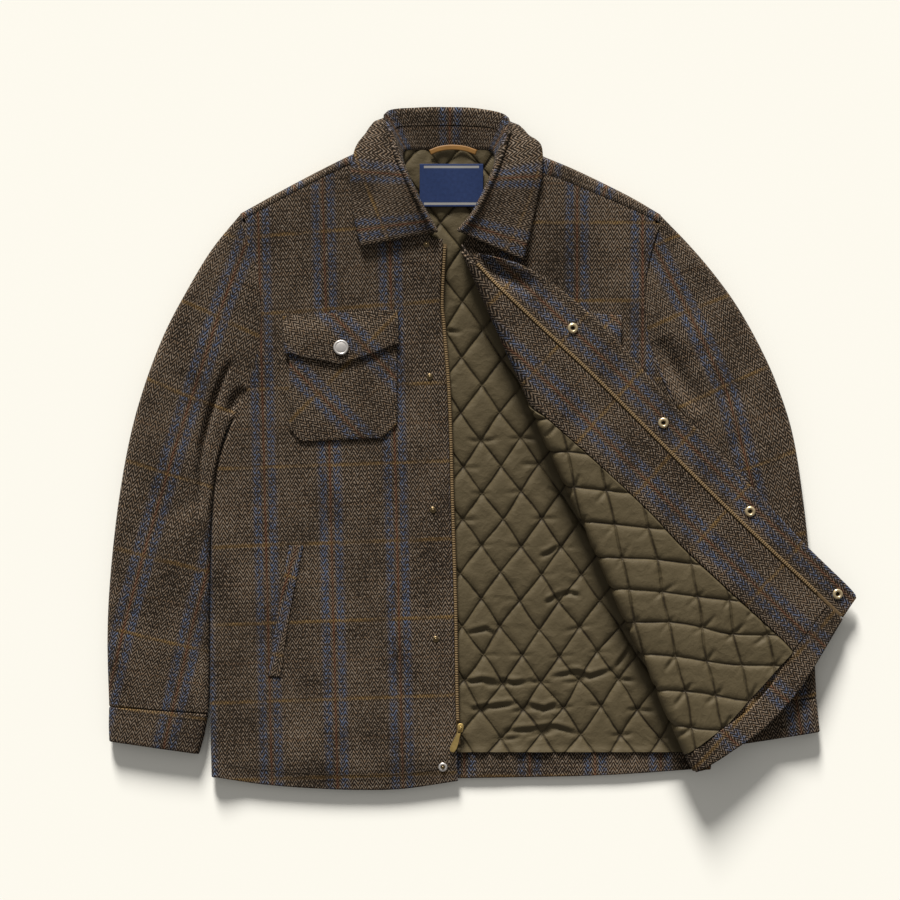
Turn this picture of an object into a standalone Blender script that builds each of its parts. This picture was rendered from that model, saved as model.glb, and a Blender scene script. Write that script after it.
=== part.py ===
"""Checked wool jacket lying on its back, its left front folded open over a quilted lining.

Tables and sizes are in millimetres. X runs across the jacket, Y from the hem to the collar, and Z up
from the surface that it lies on. Right and left are the wearer's, so the right front is at -X.
"""
import math

import bmesh
import bpy
import numpy as np
from mathutils import Matrix, Vector

MM = 0.001
WELD = 0.00002
FLAT_ANGLE = math.radians(0.5)

# Cloth
WOOL = 2.5
SEAM = 0.4
REST_GAP = 0.3
LAYER_GAP = 0.5
CURVED_SEAM = 1.3
ARMHOLE_SEAM = 0.8
BACK_INSET = 9.0
ARMHOLE_END = 0.965
DOUBLED = 4.0
SLEEVE_WALL = 3.0

# Heights of the layers
FRONT_Z = 11.25
FLOOR_MID = WOOL / 2
SIDE_ROLL = (FRONT_Z - FLOOR_MID) / 2
ROLL_REACH = SIDE_ROLL + WOOL / 2
ROLL_STEPS = 6
NECK = (-15.0, 360.0)
NECK_LIFT = 5.0
NECK_FULL = 80.0
NECK_NONE = 160.0
UPPER_FULL = 120.0
UPPER_NONE = 232.0
OVER_NECK = 1.2
HEM_DROP = 4.0
HEM_REACH = 33.0
SIDE_FADE = 40.0
UNDERARM_Y = 40.0

# Quilted lining: diamonds stitched down along their edges
QUILT_NODE = (25.3, -115.7)
QUILT_HALF = (23.0, 31.5)
QUILT_LOW = 1.4
QUILT_PUFF = 3.8
QUILT_IN_FOLD = 0.3

# The fold that turns the left front back
FOLD_FROM = np.array((3.9, 248.2))
FOLD_TO = np.array((280.1, -371.9))
FOLD_R = 6.5
FOLD_RISE = 5.25
FOLD_RISE_REACH = 60.0
FLAP_SETTLE = 6.5
FLAP_SETTLE_REACH = 90.0
FLAP_DROOP = 11.0
DROOP_FROM = 395.0
DROOP_REACH = 70.0
UNDER_FOLD = 2.0
FOLD_CUTS = (-60.0, -40.0, -20.0, 0.0, 4.08, 8.17, 12.25, 16.34, 20.42, 37.0, 54.0, 71.0, 88.0, 110.0)
DROOP_CUTS = (395.0, 409.0, 423.0, 437.0, 451.0)

# Edge lines: x, y
HEM_RIGHT = ((-290, -384), (-240, -392), (-187, -396.5), (-128.5, -399), (-70, -398), (-2.5, -388.5))
SIDE_RIGHT = ((-290, -384), (-292, -295), (-292, -178), (-290, -84), (-284.5, -20), (-270.5, 24.5))
ARMHOLE_RIGHT = ((-270.5, 24.5), (-261, 271.5), 33.0)
OPENING_RIGHT = ((-2.5, -388.5), (-6, -295), (-8, -178), (-11.5, -61), (-15, 56), (-21, 138), (-23.5, 173),
                 (-20, 243.5))
NECK_RIGHT = ((-79, 351), (-70, 331), (-63.5, 312), (-54, 288), (-43.5, 266), (-34.5, 246), (-20, 243.5))
HEM_LEFT = ((292.5, -374.5), (255, -383.5), (219.5, -394), (181, -403), (130.5, -405), (79, -398),
            (22.5, -388))
SIDE_LEFT = ((292.5, -374.5), (295, -295), (294.5, -178), (291.5, -84), (284.5, -20), (269, 23.5))
ARMHOLE_LEFT = ((269, 23.5), (238.5, 270.5), -36.0)
ZIP_LEFT = ((22.5, -388), (18.5, -203), (12, -67.5), (7.5, 22.5), (6, 116), (4, 180), (-2, 234))
NECK_LEFT = ((65, 346), (46, 331), (39.5, 312), (29.5, 288), (18, 264), (9, 246), (-2, 234))
PLACKET_EDGE = ((-3, -384), (-10, -374), (-13, -292), (-22, -195), (-30.5, -80.5), (-43, 35), (-43, 113.5),
                (-33, 167), (-11, 210.5))
PLACKET_FOOT = (20.8, -387.0)
PLACKET_TOP = (-2.5, 216.0)
FACING_START = 12.0
FACING_TOP_Y = 226.0
HEM_END = 676.0
HEM_CORNER = (22.5, -386.5)
FACING_SEAM = ((89, -369), (87, -345), (86.5, -267.5), (85, -191), (80, -134.5), (78.5, -43), (80, 89))
HEM_STRIP_LEFT = ((277, -353), (240, -362), (211.5, -367.5), (175.5, -375), (138, -376), (89, -369),
                  (22, -364))
BACK_HEM = ((-281, -383.5), (-187, -389), (-3.5, -386), (164, -382.5), (283.5, -375))
BACK_STRIP_Y = -355.5
BACK_STRIP_X = (-277.0, 279.0)
BACK_NECK = (-15.0, 344.0)
SHOULDER_EASE = 12.0
LINING_BACK = ((-277, -355), (-278, -178), (-275, -84), (-262, 10), (-230, 60), (-222, 150), (-230, 218),
               (-128, 299), (-74, 336), (-58, 344), (-15, 345.4), (28, 344), (44, 336), (92, 304), (208, 218),
               (196, 150), (208, 60), (258, 8), (277, -84), (280, -178), (279, -355))

# Shoulders: edge_x, edge_y, back_x, back_y, forward (the width that shows in front of the fold)
YOKE_RIGHT = ((-257, 273.4, -241.5, 226, 8), (-199, 305.5, -186, 268, 9), (-137, 337, -130, 309, 10),
              (-84, 360.5, -76, 346, 10))
YOKE_LEFT = ((234.5, 272.4, 217.5, 226, 9), (195.5, 295, 180, 258, 13), (138, 323, 131, 290, 17),
             (98.5, 339.5, 92, 317, 18), (58, 357.5, 50, 344, 12))

# Sleeves, armhole to cuff: outer_x, outer_y, inner_x, inner_y, height, bow (into the armhole)
SLEEVE_RIGHT = ((-261, 271.5, -273, 24.5, 12.5, 33), (-290, 231.5, -277.5, 13, 15, 20),
                (-319.5, 182.5, -283.5, -4.5, 17, 9), (-345, 133.5, -290, -28, 18, 2),
                (-367.5, 75, -294.5, -57.5, 18.5, 0), (-385, 13, -297, -92.5, 18.5, 0),
                (-399, -66.5, -297.5, -139, 18.5, 0), (-408.5, -154.5, -297.5, -195.5, 18, 0),
                (-411.5, -224.5, -298, -248, 17.5, 0), (-409.5, -301, -298, -309.5, 17, 0))
CUFF_RIGHT = ((-409.5, -301.8, -298, -310.3, 17, 0), (-410, -322, -300.5, -334, 17, 0),
              (-409.5, -342, -304.5, -357, 15.5, 0))
SLEEVE_LEFT = ((238.5, 270.5, 271.5, 23.5, 12.5, -36), (268, 236.5, 276.5, 11.5, 15, -21),
               (296, 203.5, 282.5, -6, 17, -9), (322, 167.5, 289, -29, 18, -2),
               (347.5, 123, 294.5, -58.5, 18.5, 0), (368.5, 77, 298.5, -93.5, 18.5, 0),
               (387.5, 18.5, 301, -140.5, 18.5, 0), (400, -57.5, 302.5, -196.5, 18, 0),
               (408.5, -142.5, 304, -248, 17.5, 0), (416, -291.5, 306.5, -299.5, 17, 0))
CUFF_LEFT = ((416, -292.3, 306.5, -300.3, 17, 0), (418, -312, 309.5, -324, 17, 0),
             (420, -331, 313.5, -347.5, 15.5, 0))
SLEEVE_ROWS = 14
END_STEPS = 4
FLAT_STEPS = 6
YOKE_ROWS = 7
SIDE_ROWS = 8
ARMHOLE_ROWS = 10
NECK_ROWS = 6

# Collar, right end to left end: neck x, y, z; roll x, y, z; edge x, y, z; turn (degrees the roll tips over)
COLLAR = ((-26.9, 251, 15, -33.9, 257.4, 24, -114.7, 234, 24, 0),
          (-37.4, 269.1, 16, -45.6, 279.6, 28, -121.7, 259.7, 23, 0),
          (-49.1, 290.2, 17, -57.3, 303, 30, -126.4, 290.2, 22, 0),
          (-59.7, 313.6, 17, -67.9, 326.4, 30, -127.5, 319.4, 24, 5),
          (-66.7, 332.3, 16, -76, 348.7, 27, -124, 351.5, 19, 20),
          (-65.5, 345, 13.5, -80.7, 369.7, 20, -112.3, 368, 10, 45),
          (-56.2, 347.5, 11.5, -78.4, 386, 12, -97, 381.4, 4, 75),
          (-37.4, 347.5, 10.5, -49.1, 390.8, 8.9, -58, 352, 3, 90),
          (-15.2, 347.5, 10.5, -15.2, 392, 8.7, -15.2, 337, 2.9, 90),
          (8.2, 347.5, 10.5, 21.1, 390.8, 8.9, 30, 352, 3, 90),
          (26.9, 347.5, 11.5, 48, 386, 12, 67, 380.3, 4, 75),
          (38.6, 345, 13.5, 52.7, 369.7, 20, 82, 366, 10, 45),
          (41, 332.3, 16, 50.3, 348.7, 27, 94.8, 351.5, 19, 20),
          (35.1, 313.6, 17, 44.5, 326.4, 30, 95.5, 319.4, 24, 5),
          (24.6, 290.2, 17, 32.8, 301.9, 30, 88.9, 284.3, 22, 0),
          (12.9, 269.5, 16, 19.9, 280, 28, 81.9, 250.4, 23, 0),
          (-2.3, 252, 16, 4.7, 258, 25, 73.7, 217.6, 24, 0))
COLLAR_ROLL = 3.2
COLLAR_ROWS = 27
STAND_SEAM = 1.0
SEAM_PART = 0.03
STAND_POINTS = 4
FALL_POINTS = 11

# Pockets: top, foot and side lines in plan
POCKET_TOP = ((-199, 135.5), (-73.5, 138))
POCKET_FOOT = ((-199, 23), (-185, 7), (-91.5, 11.5), (-73.5, 28))
POCKET_FLAP_TOP = ((-207, 153.5), (-72.5, 161.5))
POCKET_FLAP_FOOT = ((-205, 111), (-138.5, 97), (-71.5, 121.5))
POCKET_FLAP_LEFT_TOP = ((134.5, 158), (188.5, 154.5))
POCKET_FLAP_LEFT_FOOT = ((134.5, 104), (164, 99.5), (187, 106.5))
WELT_OUTER = ((-224, -265.5), (-217.5, -230), (-210, -178), (-199, -113.5))
WELT_INNER = ((-209, -267), (-204, -230), (-196, -180), (-182.5, -114))
FLAP_SEAT = 0.8
FLAP_RISE = 2.9
FLAP_LOOSE = 2.4

# Zip
TAPE = 1.3
TAPE_IN = 9.0
TAPE_OUT = 6.5
CHAIN_FROM = 1.8
CHAIN_TO = 5.4
CHAIN = 2.2
ZIP_RIGHT_Y = (-346.0, 238.0)
CHAIN_RIGHT_Y = (-319.5, 236.0)
ZIP_LEFT_Y = (-344.0, 205.0)
SLIDER_AT = (0.6, -326.4)
SLIDER_SIZE = (6.6, 10.0, 4.0)
SLIDER_Z = 10.2
PULL_TURN = math.radians(-20.0)
PULL_LENGTH = 30.5
PULL_WIDE = 4.4
PULL_NARROW = 2.7
PULL_THICK = 1.2
PULL_EYE = (0.8, 6.4, 1.5)
PULL_LIFT = 1.3
BAIL_BAR = 0.6
BAIL_REACH = (-3.0, 3.4)
BAIL_TOP = 2.4
BAIL_FOOT = -1.0
BAIL_ROOT = -2.5
PULL_STEPS = 24

# Snap fasteners
STUDS = ((-39.2, 237), (-35.1, 83), (-31.5, -72.2), (-28.3, -222.8), (-20, -372))
SOCKETS = ((-18.7, 72.5), (-7.4, -79.3), (1.8, -223), (4.8, -363.7))
POCKET_SNAP = (-138.5, 117)
STUD_PROFILE = ((0, 2.6), (1.6, 2.4), (2.1, 1.3), (4.6, 1.1), (5.2, 0.5), (5.2, 0), (0, 0))
SOCKET_PROFILE = ((0, 0.7), (2.2, 0.7), (2.7, 2.0), (4.0, 1.9), (5.0, 0.8), (5.0, 0), (0, 0))
CAP_PROFILE = ((0, 3.0), (4.2, 2.8), (7.2, 2.0), (9.0, 0.7), (9.0, 0), (0, 0))
TURN_STEPS = 10

# Neck trimmings: label left, right, low, high; loop x, y, z
LABEL = (-47.0, 27.0, 281.0, 331.0)
LABEL_Z = 14.6
LABEL_THICK = 0.8
LOOP = ((-35, 348.9, 13.9), (-23.5, 353.4, 13.2), (-9.5, 355.8, 13), (7, 353.4, 13.2), (20, 348.9, 13.9))
LOOP_WIDE = 4.4
LOOP_THICK = 1.4

WOOL_BROWN = ((0.075, 0.062, 0.048), 0.95, 0.0)
SATIN_OLIVE = ((0.078, 0.064, 0.036), 0.45, 0.0)
TAPE_TAN = ((0.13, 0.085, 0.035), 0.8, 0.0)
BRASS = ((0.50, 0.36, 0.14), 0.3, 1.0)
SILVER = ((0.72, 0.71, 0.68), 0.25, 1.0)
LEATHER = ((0.45, 0.17, 0.04), 0.55, 0.0)
NAVY = ((0.012, 0.018, 0.045), 0.7, 0.0)

FOLD_LONG = (FOLD_TO - FOLD_FROM) / np.linalg.norm(FOLD_TO - FOLD_FROM)
FOLD_ACROSS = np.array((-FOLD_LONG[1], FOLD_LONG[0]))


def ease(share):
    share = np.clip(share, 0.0, 1.0)
    return share * share * (3.0 - 2.0 * share)


def neck_lift(x, y):
    """Height that the collar's turned-under fall adds beneath the neck."""
    away = np.hypot(x - NECK[0], y - NECK[1])
    return NECK_LIFT * ease((NECK_NONE - away) / (NECK_NONE - NECK_FULL))


def upper_lift(x, y):
    """The lift of the layers above the back, which starts a little farther out."""
    away = np.hypot(x - NECK[0], y - NECK[1])
    return OVER_NECK * NECK_LIFT * ease((UPPER_NONE - away) / (UPPER_NONE - UPPER_FULL))


def hem_drop(x, y):
    """How far a front comes down past the end of the back lining."""
    line = np.array(HEM_RIGHT[:-1] + HEM_LEFT[::-1], float)
    above = y - np.interp(x, line[:, 0], line[:, 1])
    inside = np.minimum(x - SIDE_RIGHT[1][0], SIDE_LEFT[1][0] - x)
    return HEM_DROP * (1.0 - ease(above / HEM_REACH)) * ease((inside - ROLL_REACH) / SIDE_FADE)


def front_z(x, y):
    return FRONT_Z + upper_lift(x, y) - hem_drop(x, y)


def spread(rows, count, smooth=True, span=2):
    """Points set evenly along a line through the rows, by the length that their first columns span."""
    fine = spline(rows, np.linspace(0, len(rows) - 1, 24 * (len(rows) - 1) + 1), smooth)
    run = np.concatenate(((0.0,), np.cumsum(np.linalg.norm(np.diff(fine[:, :span], axis=0), axis=1))))
    at = np.linspace(0, run[-1], count)
    return np.stack([np.interp(at, run, column) for column in fine.T], axis=1)


def spline(rows, place, smooth=True):
    """Points at places counted in rows, on a rounded or straight line through the rows."""
    rows = np.asarray(rows, float)
    ends = np.vstack((2 * rows[0] - rows[1], rows, 2 * rows[-1] - rows[-2]))
    first = np.minimum(place.astype(int), len(rows) - 2)
    part = (place - first)[:, None]
    a, b, c, d = (ends[first + step] for step in range(4))
    if not smooth:
        return b + part * (c - b)
    bent = b + part * (c - a) / 2 + part ** 2 * (a - 2.5 * b + 2 * c - d / 2)
    return bent + part ** 3 * (1.5 * b - a / 2 - 1.5 * c + d / 2)


def armhole(ends, count):
    """The armhole seam: a chord bowed into the body."""
    low, high, bow = np.array(ends[0], float), np.array(ends[1], float), ends[2]
    share = np.linspace(0, ARMHOLE_END, count)[:, None]
    return low + (high - low) * share + np.array((bow, 0.0)) * 4 * share * (1 - share)


def coons(foot, top, left, right):
    """A grid inside four edges: foot and top run the same way, left and right run up."""
    u = np.linspace(0, 1, len(foot))[None, :, None]
    v = np.linspace(0, 1, len(left))[:, None, None]
    across = (1 - v) * foot[None] + v * top[None]
    along = (1 - u) * left[:, None] + u * right[:, None]
    corners = (1 - v) * ((1 - u) * foot[0] + u * foot[-1]) + v * ((1 - u) * top[0] + u * top[-1])
    return across + along - corners


def faces_up(grid, height):
    """A plan grid with its height, as points."""
    return np.concatenate((grid, np.broadcast_to(height, grid.shape[:2])[..., None]), axis=2)


def thicken(middle, wall):
    """The two faces of a cloth wall about its middle surface."""
    down, over = np.gradient(middle, axis=0), np.gradient(middle, axis=1)
    normal = np.cross(over, down)
    normal = normal / np.linalg.norm(normal, axis=2, keepdims=True)
    return middle + normal * wall / 2, middle - normal * wall / 2


def level_faces(body, chosen):
    """Merge the faces that lie in one plane, where the pattern points are chosen."""
    verts = [vert for vert in body.verts if chosen(vert.co / MM)]
    kept = set(verts)
    edges = [edge for edge in body.edges if kept.issuperset(edge.verts)]
    bmesh.ops.dissolve_limit(body, angle_limit=FLAT_ANGLE, verts=verts, edges=edges)


def past_fold(place):
    """Distance of a pattern point past the fold line, toward the opening."""
    return -((place[0] - FOLD_FROM[0]) * FOLD_ACROSS[0] + (place[1] - FOLD_FROM[1]) * FOLD_ACROSS[1])


def turned_back(points):
    """Place of pattern points after the fold: the lower leaf, round the fold, then back over the jacket."""
    x, y, out = points[:, 0], points[:, 1], points[:, 2]
    from_fold = points[:, :2] - FOLD_FROM
    along, past = from_fold @ FOLD_LONG, -(from_fold @ FOLD_ACROSS)
    bed = FRONT_Z + (upper_lift(x, y) - hem_drop(x, y)) * ease(-past / SIDE_FADE)
    bed = bed + FOLD_RISE * ease(1 + past / FOLD_RISE_REACH)
    angle = np.clip(past / FOLD_R, 0, math.pi)
    beyond = np.maximum(past - math.pi * FOLD_R, 0)
    across = beyond - np.minimum(past, 0) - (FOLD_R - out) * np.sin(angle)
    plan = FOLD_FROM + along[:, None] * FOLD_LONG + across[:, None] * FOLD_ACROSS
    height = bed + FOLD_R - (FOLD_R - out) * np.cos(angle) - FLAP_SETTLE * ease(beyond / FLAP_SETTLE_REACH)
    droop = FLAP_DROOP * ease((plan[:, 0] - DROOP_FROM) / DROOP_REACH) * (beyond > 0)
    return np.column_stack((plan, height - droop))


def grid_body(outer, inner, closed=False):
    """One wall as a mesh: its outer and inner grids, joined round their rims."""
    body = bmesh.new()
    rows, columns = outer.shape[:2]
    sheets = []
    for points in (outer, inner):
        made = bmesh.ops.create_grid(body, x_segments=columns - 1, y_segments=rows - 1, size=1.0)["verts"]
        for vert, place in zip(made, points.reshape(-1, 3)):
            vert.co = Vector(place) * MM
        sheets.append([made[row * columns:(row + 1) * columns] for row in range(rows)])
    rims = [[sheet[row] for sheet in sheets] for row in (0, -1)]
    if not closed:
        rims += [[[line[column] for line in sheet] for sheet in sheets] for column in (0, -1)]
    for one, two in rims:
        for a, b, c, d in zip(one[:-1], one[1:], two[1:], two[:-1]):
            body.faces.new((a, b, c, d))
    bmesh.ops.remove_doubles(body, verts=body.verts, dist=WELD)
    bmesh.ops.recalc_face_normals(body, faces=body.faces)
    return body


def fold_back(body):
    """Cut a flat pattern mesh along lines beside the fold, then turn it back over."""
    for cut in FOLD_CUTS:
        where = (FOLD_FROM - FOLD_ACROSS * cut) * MM
        everything = body.verts[:] + body.edges[:] + body.faces[:]
        bmesh.ops.bisect_plane(body, geom=everything, dist=WELD, plane_co=(where[0], where[1], 0.0),
                               plane_no=(FOLD_ACROSS[0], FOLD_ACROSS[1], 0.0))
    slope = FOLD_LONG * FOLD_LONG[0] - FOLD_ACROSS * FOLD_ACROSS[0]
    for cut in DROOP_CUTS:
        where = (FOLD_FROM + slope * (cut - FOLD_FROM[0] + math.pi * FOLD_R * FOLD_ACROSS[0])) * MM
        turned = [face for face in body.faces if past_fold(face.calc_center_median() / MM) > FOLD_CUTS[-1]]
        around = set(turned)
        for face in turned:
            around.update(face.edges)
            around.update(face.verts)
        bmesh.ops.bisect_plane(body, geom=list(around), dist=WELD, plane_co=(where[0], where[1], 0.0),
                               plane_no=(slope[0], slope[1], 0.0))
    bmesh.ops.triangulate(body, faces=body.faces)
    flat = np.array([vert.co for vert in body.verts]) / MM
    for vert, place in zip(body.verts, turned_back(flat)):
        vert.co = Vector(place) * MM
    bmesh.ops.recalc_face_normals(body, faces=body.faces)
    return body


def paint(colour, roughness, metallic, name):
    material = bpy.data.materials.get(name) or bpy.data.materials.new(name)
    material.use_nodes = True
    shader = material.node_tree.nodes["Principled BSDF"]
    shader.inputs["Base Color"].default_value = (*colour, 1.0)
    shader.inputs["Roughness"].default_value = roughness
    shader.inputs["Metallic"].default_value = metallic
    return material


def add_object(name, mesh, look, slot):
    mesh.materials.clear()
    mesh.materials.append(paint(*look, slot))
    made = bpy.data.objects.new(name, mesh)
    jacket.objects.link(made)
    return made


def add_body(name, body, look=WOOL_BROWN, slot="wool"):
    mesh = bpy.data.meshes.new(name)
    body.to_mesh(mesh)
    body.free()
    mesh.shade_smooth()
    mesh.set_sharp_from_angle(angle=math.radians(50))
    return add_object(name, mesh, look, slot)


def evaluated_mesh(thing):
    """The thing's mesh with its modifiers applied; the thing itself is removed."""
    view = bpy.context.evaluated_depsgraph_get()
    mesh = bpy.data.meshes.new_from_object(thing.evaluated_get(view))
    bpy.data.objects.remove(thing)
    return mesh


def prism(outline, low, high):
    """An upright solid on a plan outline, as a hidden cutter."""
    body = bmesh.new()
    foot = body.faces.new([body.verts.new((x * MM, y * MM, low * MM)) for x, y in outline])
    raised = bmesh.ops.extrude_face_region(body, geom=[foot])["geom"]
    bmesh.ops.translate(body, verts=[part for part in raised if isinstance(part, bmesh.types.BMVert)],
                        vec=(0, 0, (high - low) * MM))
    bmesh.ops.recalc_face_normals(body, faces=body.faces)
    mesh = bpy.data.meshes.new("cutter")
    body.to_mesh(mesh)
    body.free()
    cutter = bpy.data.objects.new("cutter", mesh)
    cutters.objects.link(cutter)
    cutter.hide_render = True
    cutter.display_type = "WIRE"
    return cutter


def quilt(outline, low, up):
    """A lining cut to the outline: plain underneath, each stitched diamond raised on the side up."""
    outline = np.asarray(outline, float)
    half = np.array(QUILT_HALF)
    node = np.array(QUILT_NODE)
    steps = np.array([[1, 1], [-1, 1]]) * half
    reach = (outline - node) @ np.linalg.inv(steps)
    first, last = np.floor(reach.min(axis=0)) - 1, np.ceil(reach.max(axis=0)) + 1
    i, j = np.meshgrid(np.arange(first[0], last[0] + 1), np.arange(first[1], last[1] + 1))
    plan = node + i[..., None] * steps[0] + j[..., None] * steps[1]
    body = grid_body(faces_up(plan, low + up * QUILT_LOW), faces_up(plan, low))
    top = (low + up * QUILT_LOW) * MM
    raised = [face for face in body.faces if abs(face.calc_center_median().z - top) < WELD]
    bmesh.ops.poke(body, faces=raised, offset=QUILT_PUFF * MM)
    mesh = bpy.data.meshes.new("quilt")
    body.to_mesh(mesh)
    body.free()
    slab = bpy.data.objects.new("quilt", mesh)
    cutters.objects.link(slab)
    bounds = sorted((low - 20.0, low + 20.0))
    cut = slab.modifiers.new("cut", "BOOLEAN")
    cut.operation = "INTERSECT"
    cut.object = prism(outline, *bounds)
    tool = cut.object
    mesh = evaluated_mesh(slab)
    bpy.data.objects.remove(tool)
    body = bmesh.new()
    body.from_mesh(mesh)
    bmesh.ops.triangulate(body, faces=body.faces)
    return body


def raise_points(body, height):
    for vert in body.verts:
        vert.co.z += float(height(vert.co.x / MM, vert.co.y / MM)) * MM
    return body


def front_grid(flank, foot, top, opening, out):
    """Plan points of a front and their height beside the flat cloth, with the side strip rolled under."""
    inner = flank + np.array((-out * ROLL_REACH, 0.0))
    flat = coons(foot, top, inner, opening)
    rolled = ease((UNDERARM_Y - flank[:, 1]) / UNDERARM_Y)[:, None]
    step = np.arange(ROLL_STEPS, 0, -1)[None, :] / ROLL_STEPS
    sideways = rolled * SIDE_ROLL * np.sin(math.pi * step)
    sideways = sideways + (1 - rolled) * (ROLL_REACH - ARMHOLE_SEAM) * step
    strip = np.stack((inner[:, :1] + out * sideways, np.repeat(inner[:, 1:], ROLL_STEPS, axis=1)), axis=2)
    under = -rolled * SIDE_ROLL * (1 - np.cos(math.pi * step))
    height = np.concatenate((under, np.zeros(flat.shape[:2])), axis=1)
    return np.concatenate((strip, flat), axis=1), height


def flank_line(side, hole):
    return np.concatenate((spread(side, SIDE_ROWS), armhole(hole, ARMHOLE_ROWS)[1:]))


def shoulder_line(yoke, count):
    """The forward seam of a shoulder, a seam's width inside the yoke."""
    rows = spread(yoke, count)
    way = rows[:, 2:4] - rows[:, :2]
    way = way / np.linalg.norm(way, axis=1, keepdims=True)
    return rows[:, :2] + way * (rows[:, 4:] + SEAM)


def add_fronts():
    top = np.concatenate((shoulder_line(YOKE_RIGHT, YOKE_ROWS), spread(NECK_RIGHT, NECK_ROWS)[1:]))
    flank = flank_line(SIDE_RIGHT, ARMHOLE_RIGHT)
    top[0] = flank[-1] + np.array((ROLL_REACH, 0.0))
    foot = spread(HEM_RIGHT, len(top))
    foot[0, 0] += ROLL_REACH
    plan, bend = front_grid(flank, foot, top, spread(OPENING_RIGHT, len(flank)), -1)
    height = front_z(plan[..., 0], plan[..., 1]) + bend
    add_body("right_front", grid_body(*thicken(faces_up(plan, height), WOOL)))
    top = np.concatenate((shoulder_line(YOKE_LEFT, YOKE_ROWS), spread(NECK_LEFT, NECK_ROWS)[1:]))
    flank = flank_line(SIDE_LEFT, ARMHOLE_LEFT)
    top[0] = flank[-1] - np.array((ROLL_REACH, 0.0))
    foot = spread(HEM_LEFT, len(top))
    foot[0, 0] -= ROLL_REACH
    plan, bend = front_grid(flank, foot, top, spread(ZIP_LEFT, len(flank)), 1)
    body = grid_body(*thicken(faces_up(plan, bend), WOOL))
    level_faces(body, lambda place: past_fold(place) > 0)
    add_body("left_front", fold_back(body))


def strip(outer_line, inner_line, low, high):
    """A flat band between two plan lines, from one height to another."""
    plan = np.stack((outer_line, inner_line), axis=1)
    return grid_body(faces_up(plan, high), faces_up(plan, low))


def beside(line, reach):
    """A plan line moved to its right by the reach."""
    way = np.gradient(line, axis=0)
    way = way / np.linalg.norm(way, axis=1, keepdims=True)
    return line + np.column_stack((way[:, 1], -way[:, 0])) * reach


def add_left_trim():
    """The placket, facing, hem and lining of the left front, laid on its pattern and folded with it."""
    zip_line = spread(ZIP_LEFT, 90)
    by_height = zip_line[:, 1]
    edge = spread(PLACKET_EDGE, 20)
    inside = np.column_stack((np.interp(edge[:, 1], by_height, zip_line[:, 0]) - CURVED_SEAM, edge[:, 1]))
    inside[0], inside[-1] = PLACKET_FOOT, PLACKET_TOP
    add_body("placket_left", fold_back(strip(edge, inside, -WOOL / 2, DOUBLED - WOOL / 2)))
    facing_low, facing_high = -(1.5 * WOOL + LAYER_GAP), -(WOOL / 2 + LAYER_GAP)
    fold_edge = FOLD_FROM + FOLD_ACROSS * UNDER_FOLD
    seam_end = np.array(FACING_SEAM[-1])
    fold_top = fold_edge + FOLD_LONG * FACING_START
    right = np.concatenate((spread(FACING_SEAM, 9), spread((seam_end, fold_top), 5)[1:]))
    left_height = np.linspace(HEM_STRIP_LEFT[-1][1] + SEAM, FACING_TOP_Y, len(right))
    left = np.column_stack((np.interp(left_height, by_height, zip_line[:, 0]) + CURVED_SEAM, left_height))
    right[0] += np.array((0.0, SEAM))
    facing = coons(spread((left[0], right[0]), 5), spread((left[-1], right[-1]), 5), left, right)
    body = grid_body(faces_up(facing, facing_high), faces_up(facing, facing_low))
    add_body("facing_left", fold_back(body))
    upper = spread(HEM_STRIP_LEFT, 12)
    lower = spread([FOLD_FROM + FOLD_LONG * HEM_END + FOLD_ACROSS * UNDER_FOLD, *HEM_LEFT[1:]], 12)
    lower[-1] = HEM_CORNER
    add_body("hem_left", fold_back(strip(upper, lower, facing_low, facing_high)))
    seam = spread(FACING_SEAM, 12) + np.array((2 * SEAM, 0.0))
    foot = spread(HEM_STRIP_LEFT, 12)[:-1] + np.array((0.0, 2 * SEAM))
    foot = foot[foot[:, 0] > FACING_SEAM[0][0] + 3.0]
    lining = quilt(np.concatenate((seam[::-1], foot[::-1])), facing_high, -1)
    level_faces(lining, lambda place: True)
    plain = facing_high * MM
    for vert in lining.verts:
        shown = float(ease((past_fold(vert.co / MM) + UNDER_FOLD) / (2 * UNDER_FOLD)))
        full = QUILT_IN_FOLD + (1 - QUILT_IN_FOLD) * shown
        vert.co.z = plain + (vert.co.z - plain) * full
    add_body("lining_left", fold_back(lining), SATIN_OLIVE, "satin")


def add_back():
    top = np.array([row[2:4] for row in YOKE_RIGHT] + [BACK_NECK] + [row[2:4] for row in YOKE_LEFT[::-1]])
    top = spread(top + np.array((0.0, -2 * SEAM)), 15, smooth=False)
    low_side = np.array((BACK_INSET, 0.0))
    hole_right, hole_left = (armhole(ends, 7)[1:-1] for ends in (ARMHOLE_RIGHT, ARMHOLE_LEFT))
    left = np.concatenate((spread(SIDE_RIGHT, SIDE_ROWS) + low_side, hole_right + low_side, top[:1]))
    right = np.concatenate((spread(SIDE_LEFT, SIDE_ROWS) - low_side, hole_left - low_side, top[-1:]))
    left[-2, 1] -= SHOULDER_EASE
    right[-2, 1] -= SHOULDER_EASE
    foot = spread(BACK_HEM, 15)
    left[0], right[0] = foot[0], foot[-1]
    plan = coons(foot, top, left, right)
    lift = neck_lift(plan[..., 0], plan[..., 1])
    add_body("back", grid_body(faces_up(plan, lift + WOOL), faces_up(plan, lift)))
    strip_foot = spread(BACK_HEM, 13)
    strip_foot[:, 0] = np.linspace(*BACK_STRIP_X, len(strip_foot))
    strip_top = np.column_stack((strip_foot[:, 0], np.full(len(strip_foot), BACK_STRIP_Y)))
    add_body("hem_back", strip(strip_top, strip_foot, WOOL + REST_GAP, 2 * WOOL + REST_GAP))
    lining = quilt(LINING_BACK, WOOL + REST_GAP, 1)
    level_faces(lining, lambda place: upper_lift(place[0], place[1]) == 0)
    bmesh.ops.triangulate(lining, faces=lining.faces)
    add_body("lining_back", raise_points(lining, upper_lift), SATIN_OLIVE, "satin")


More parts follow.
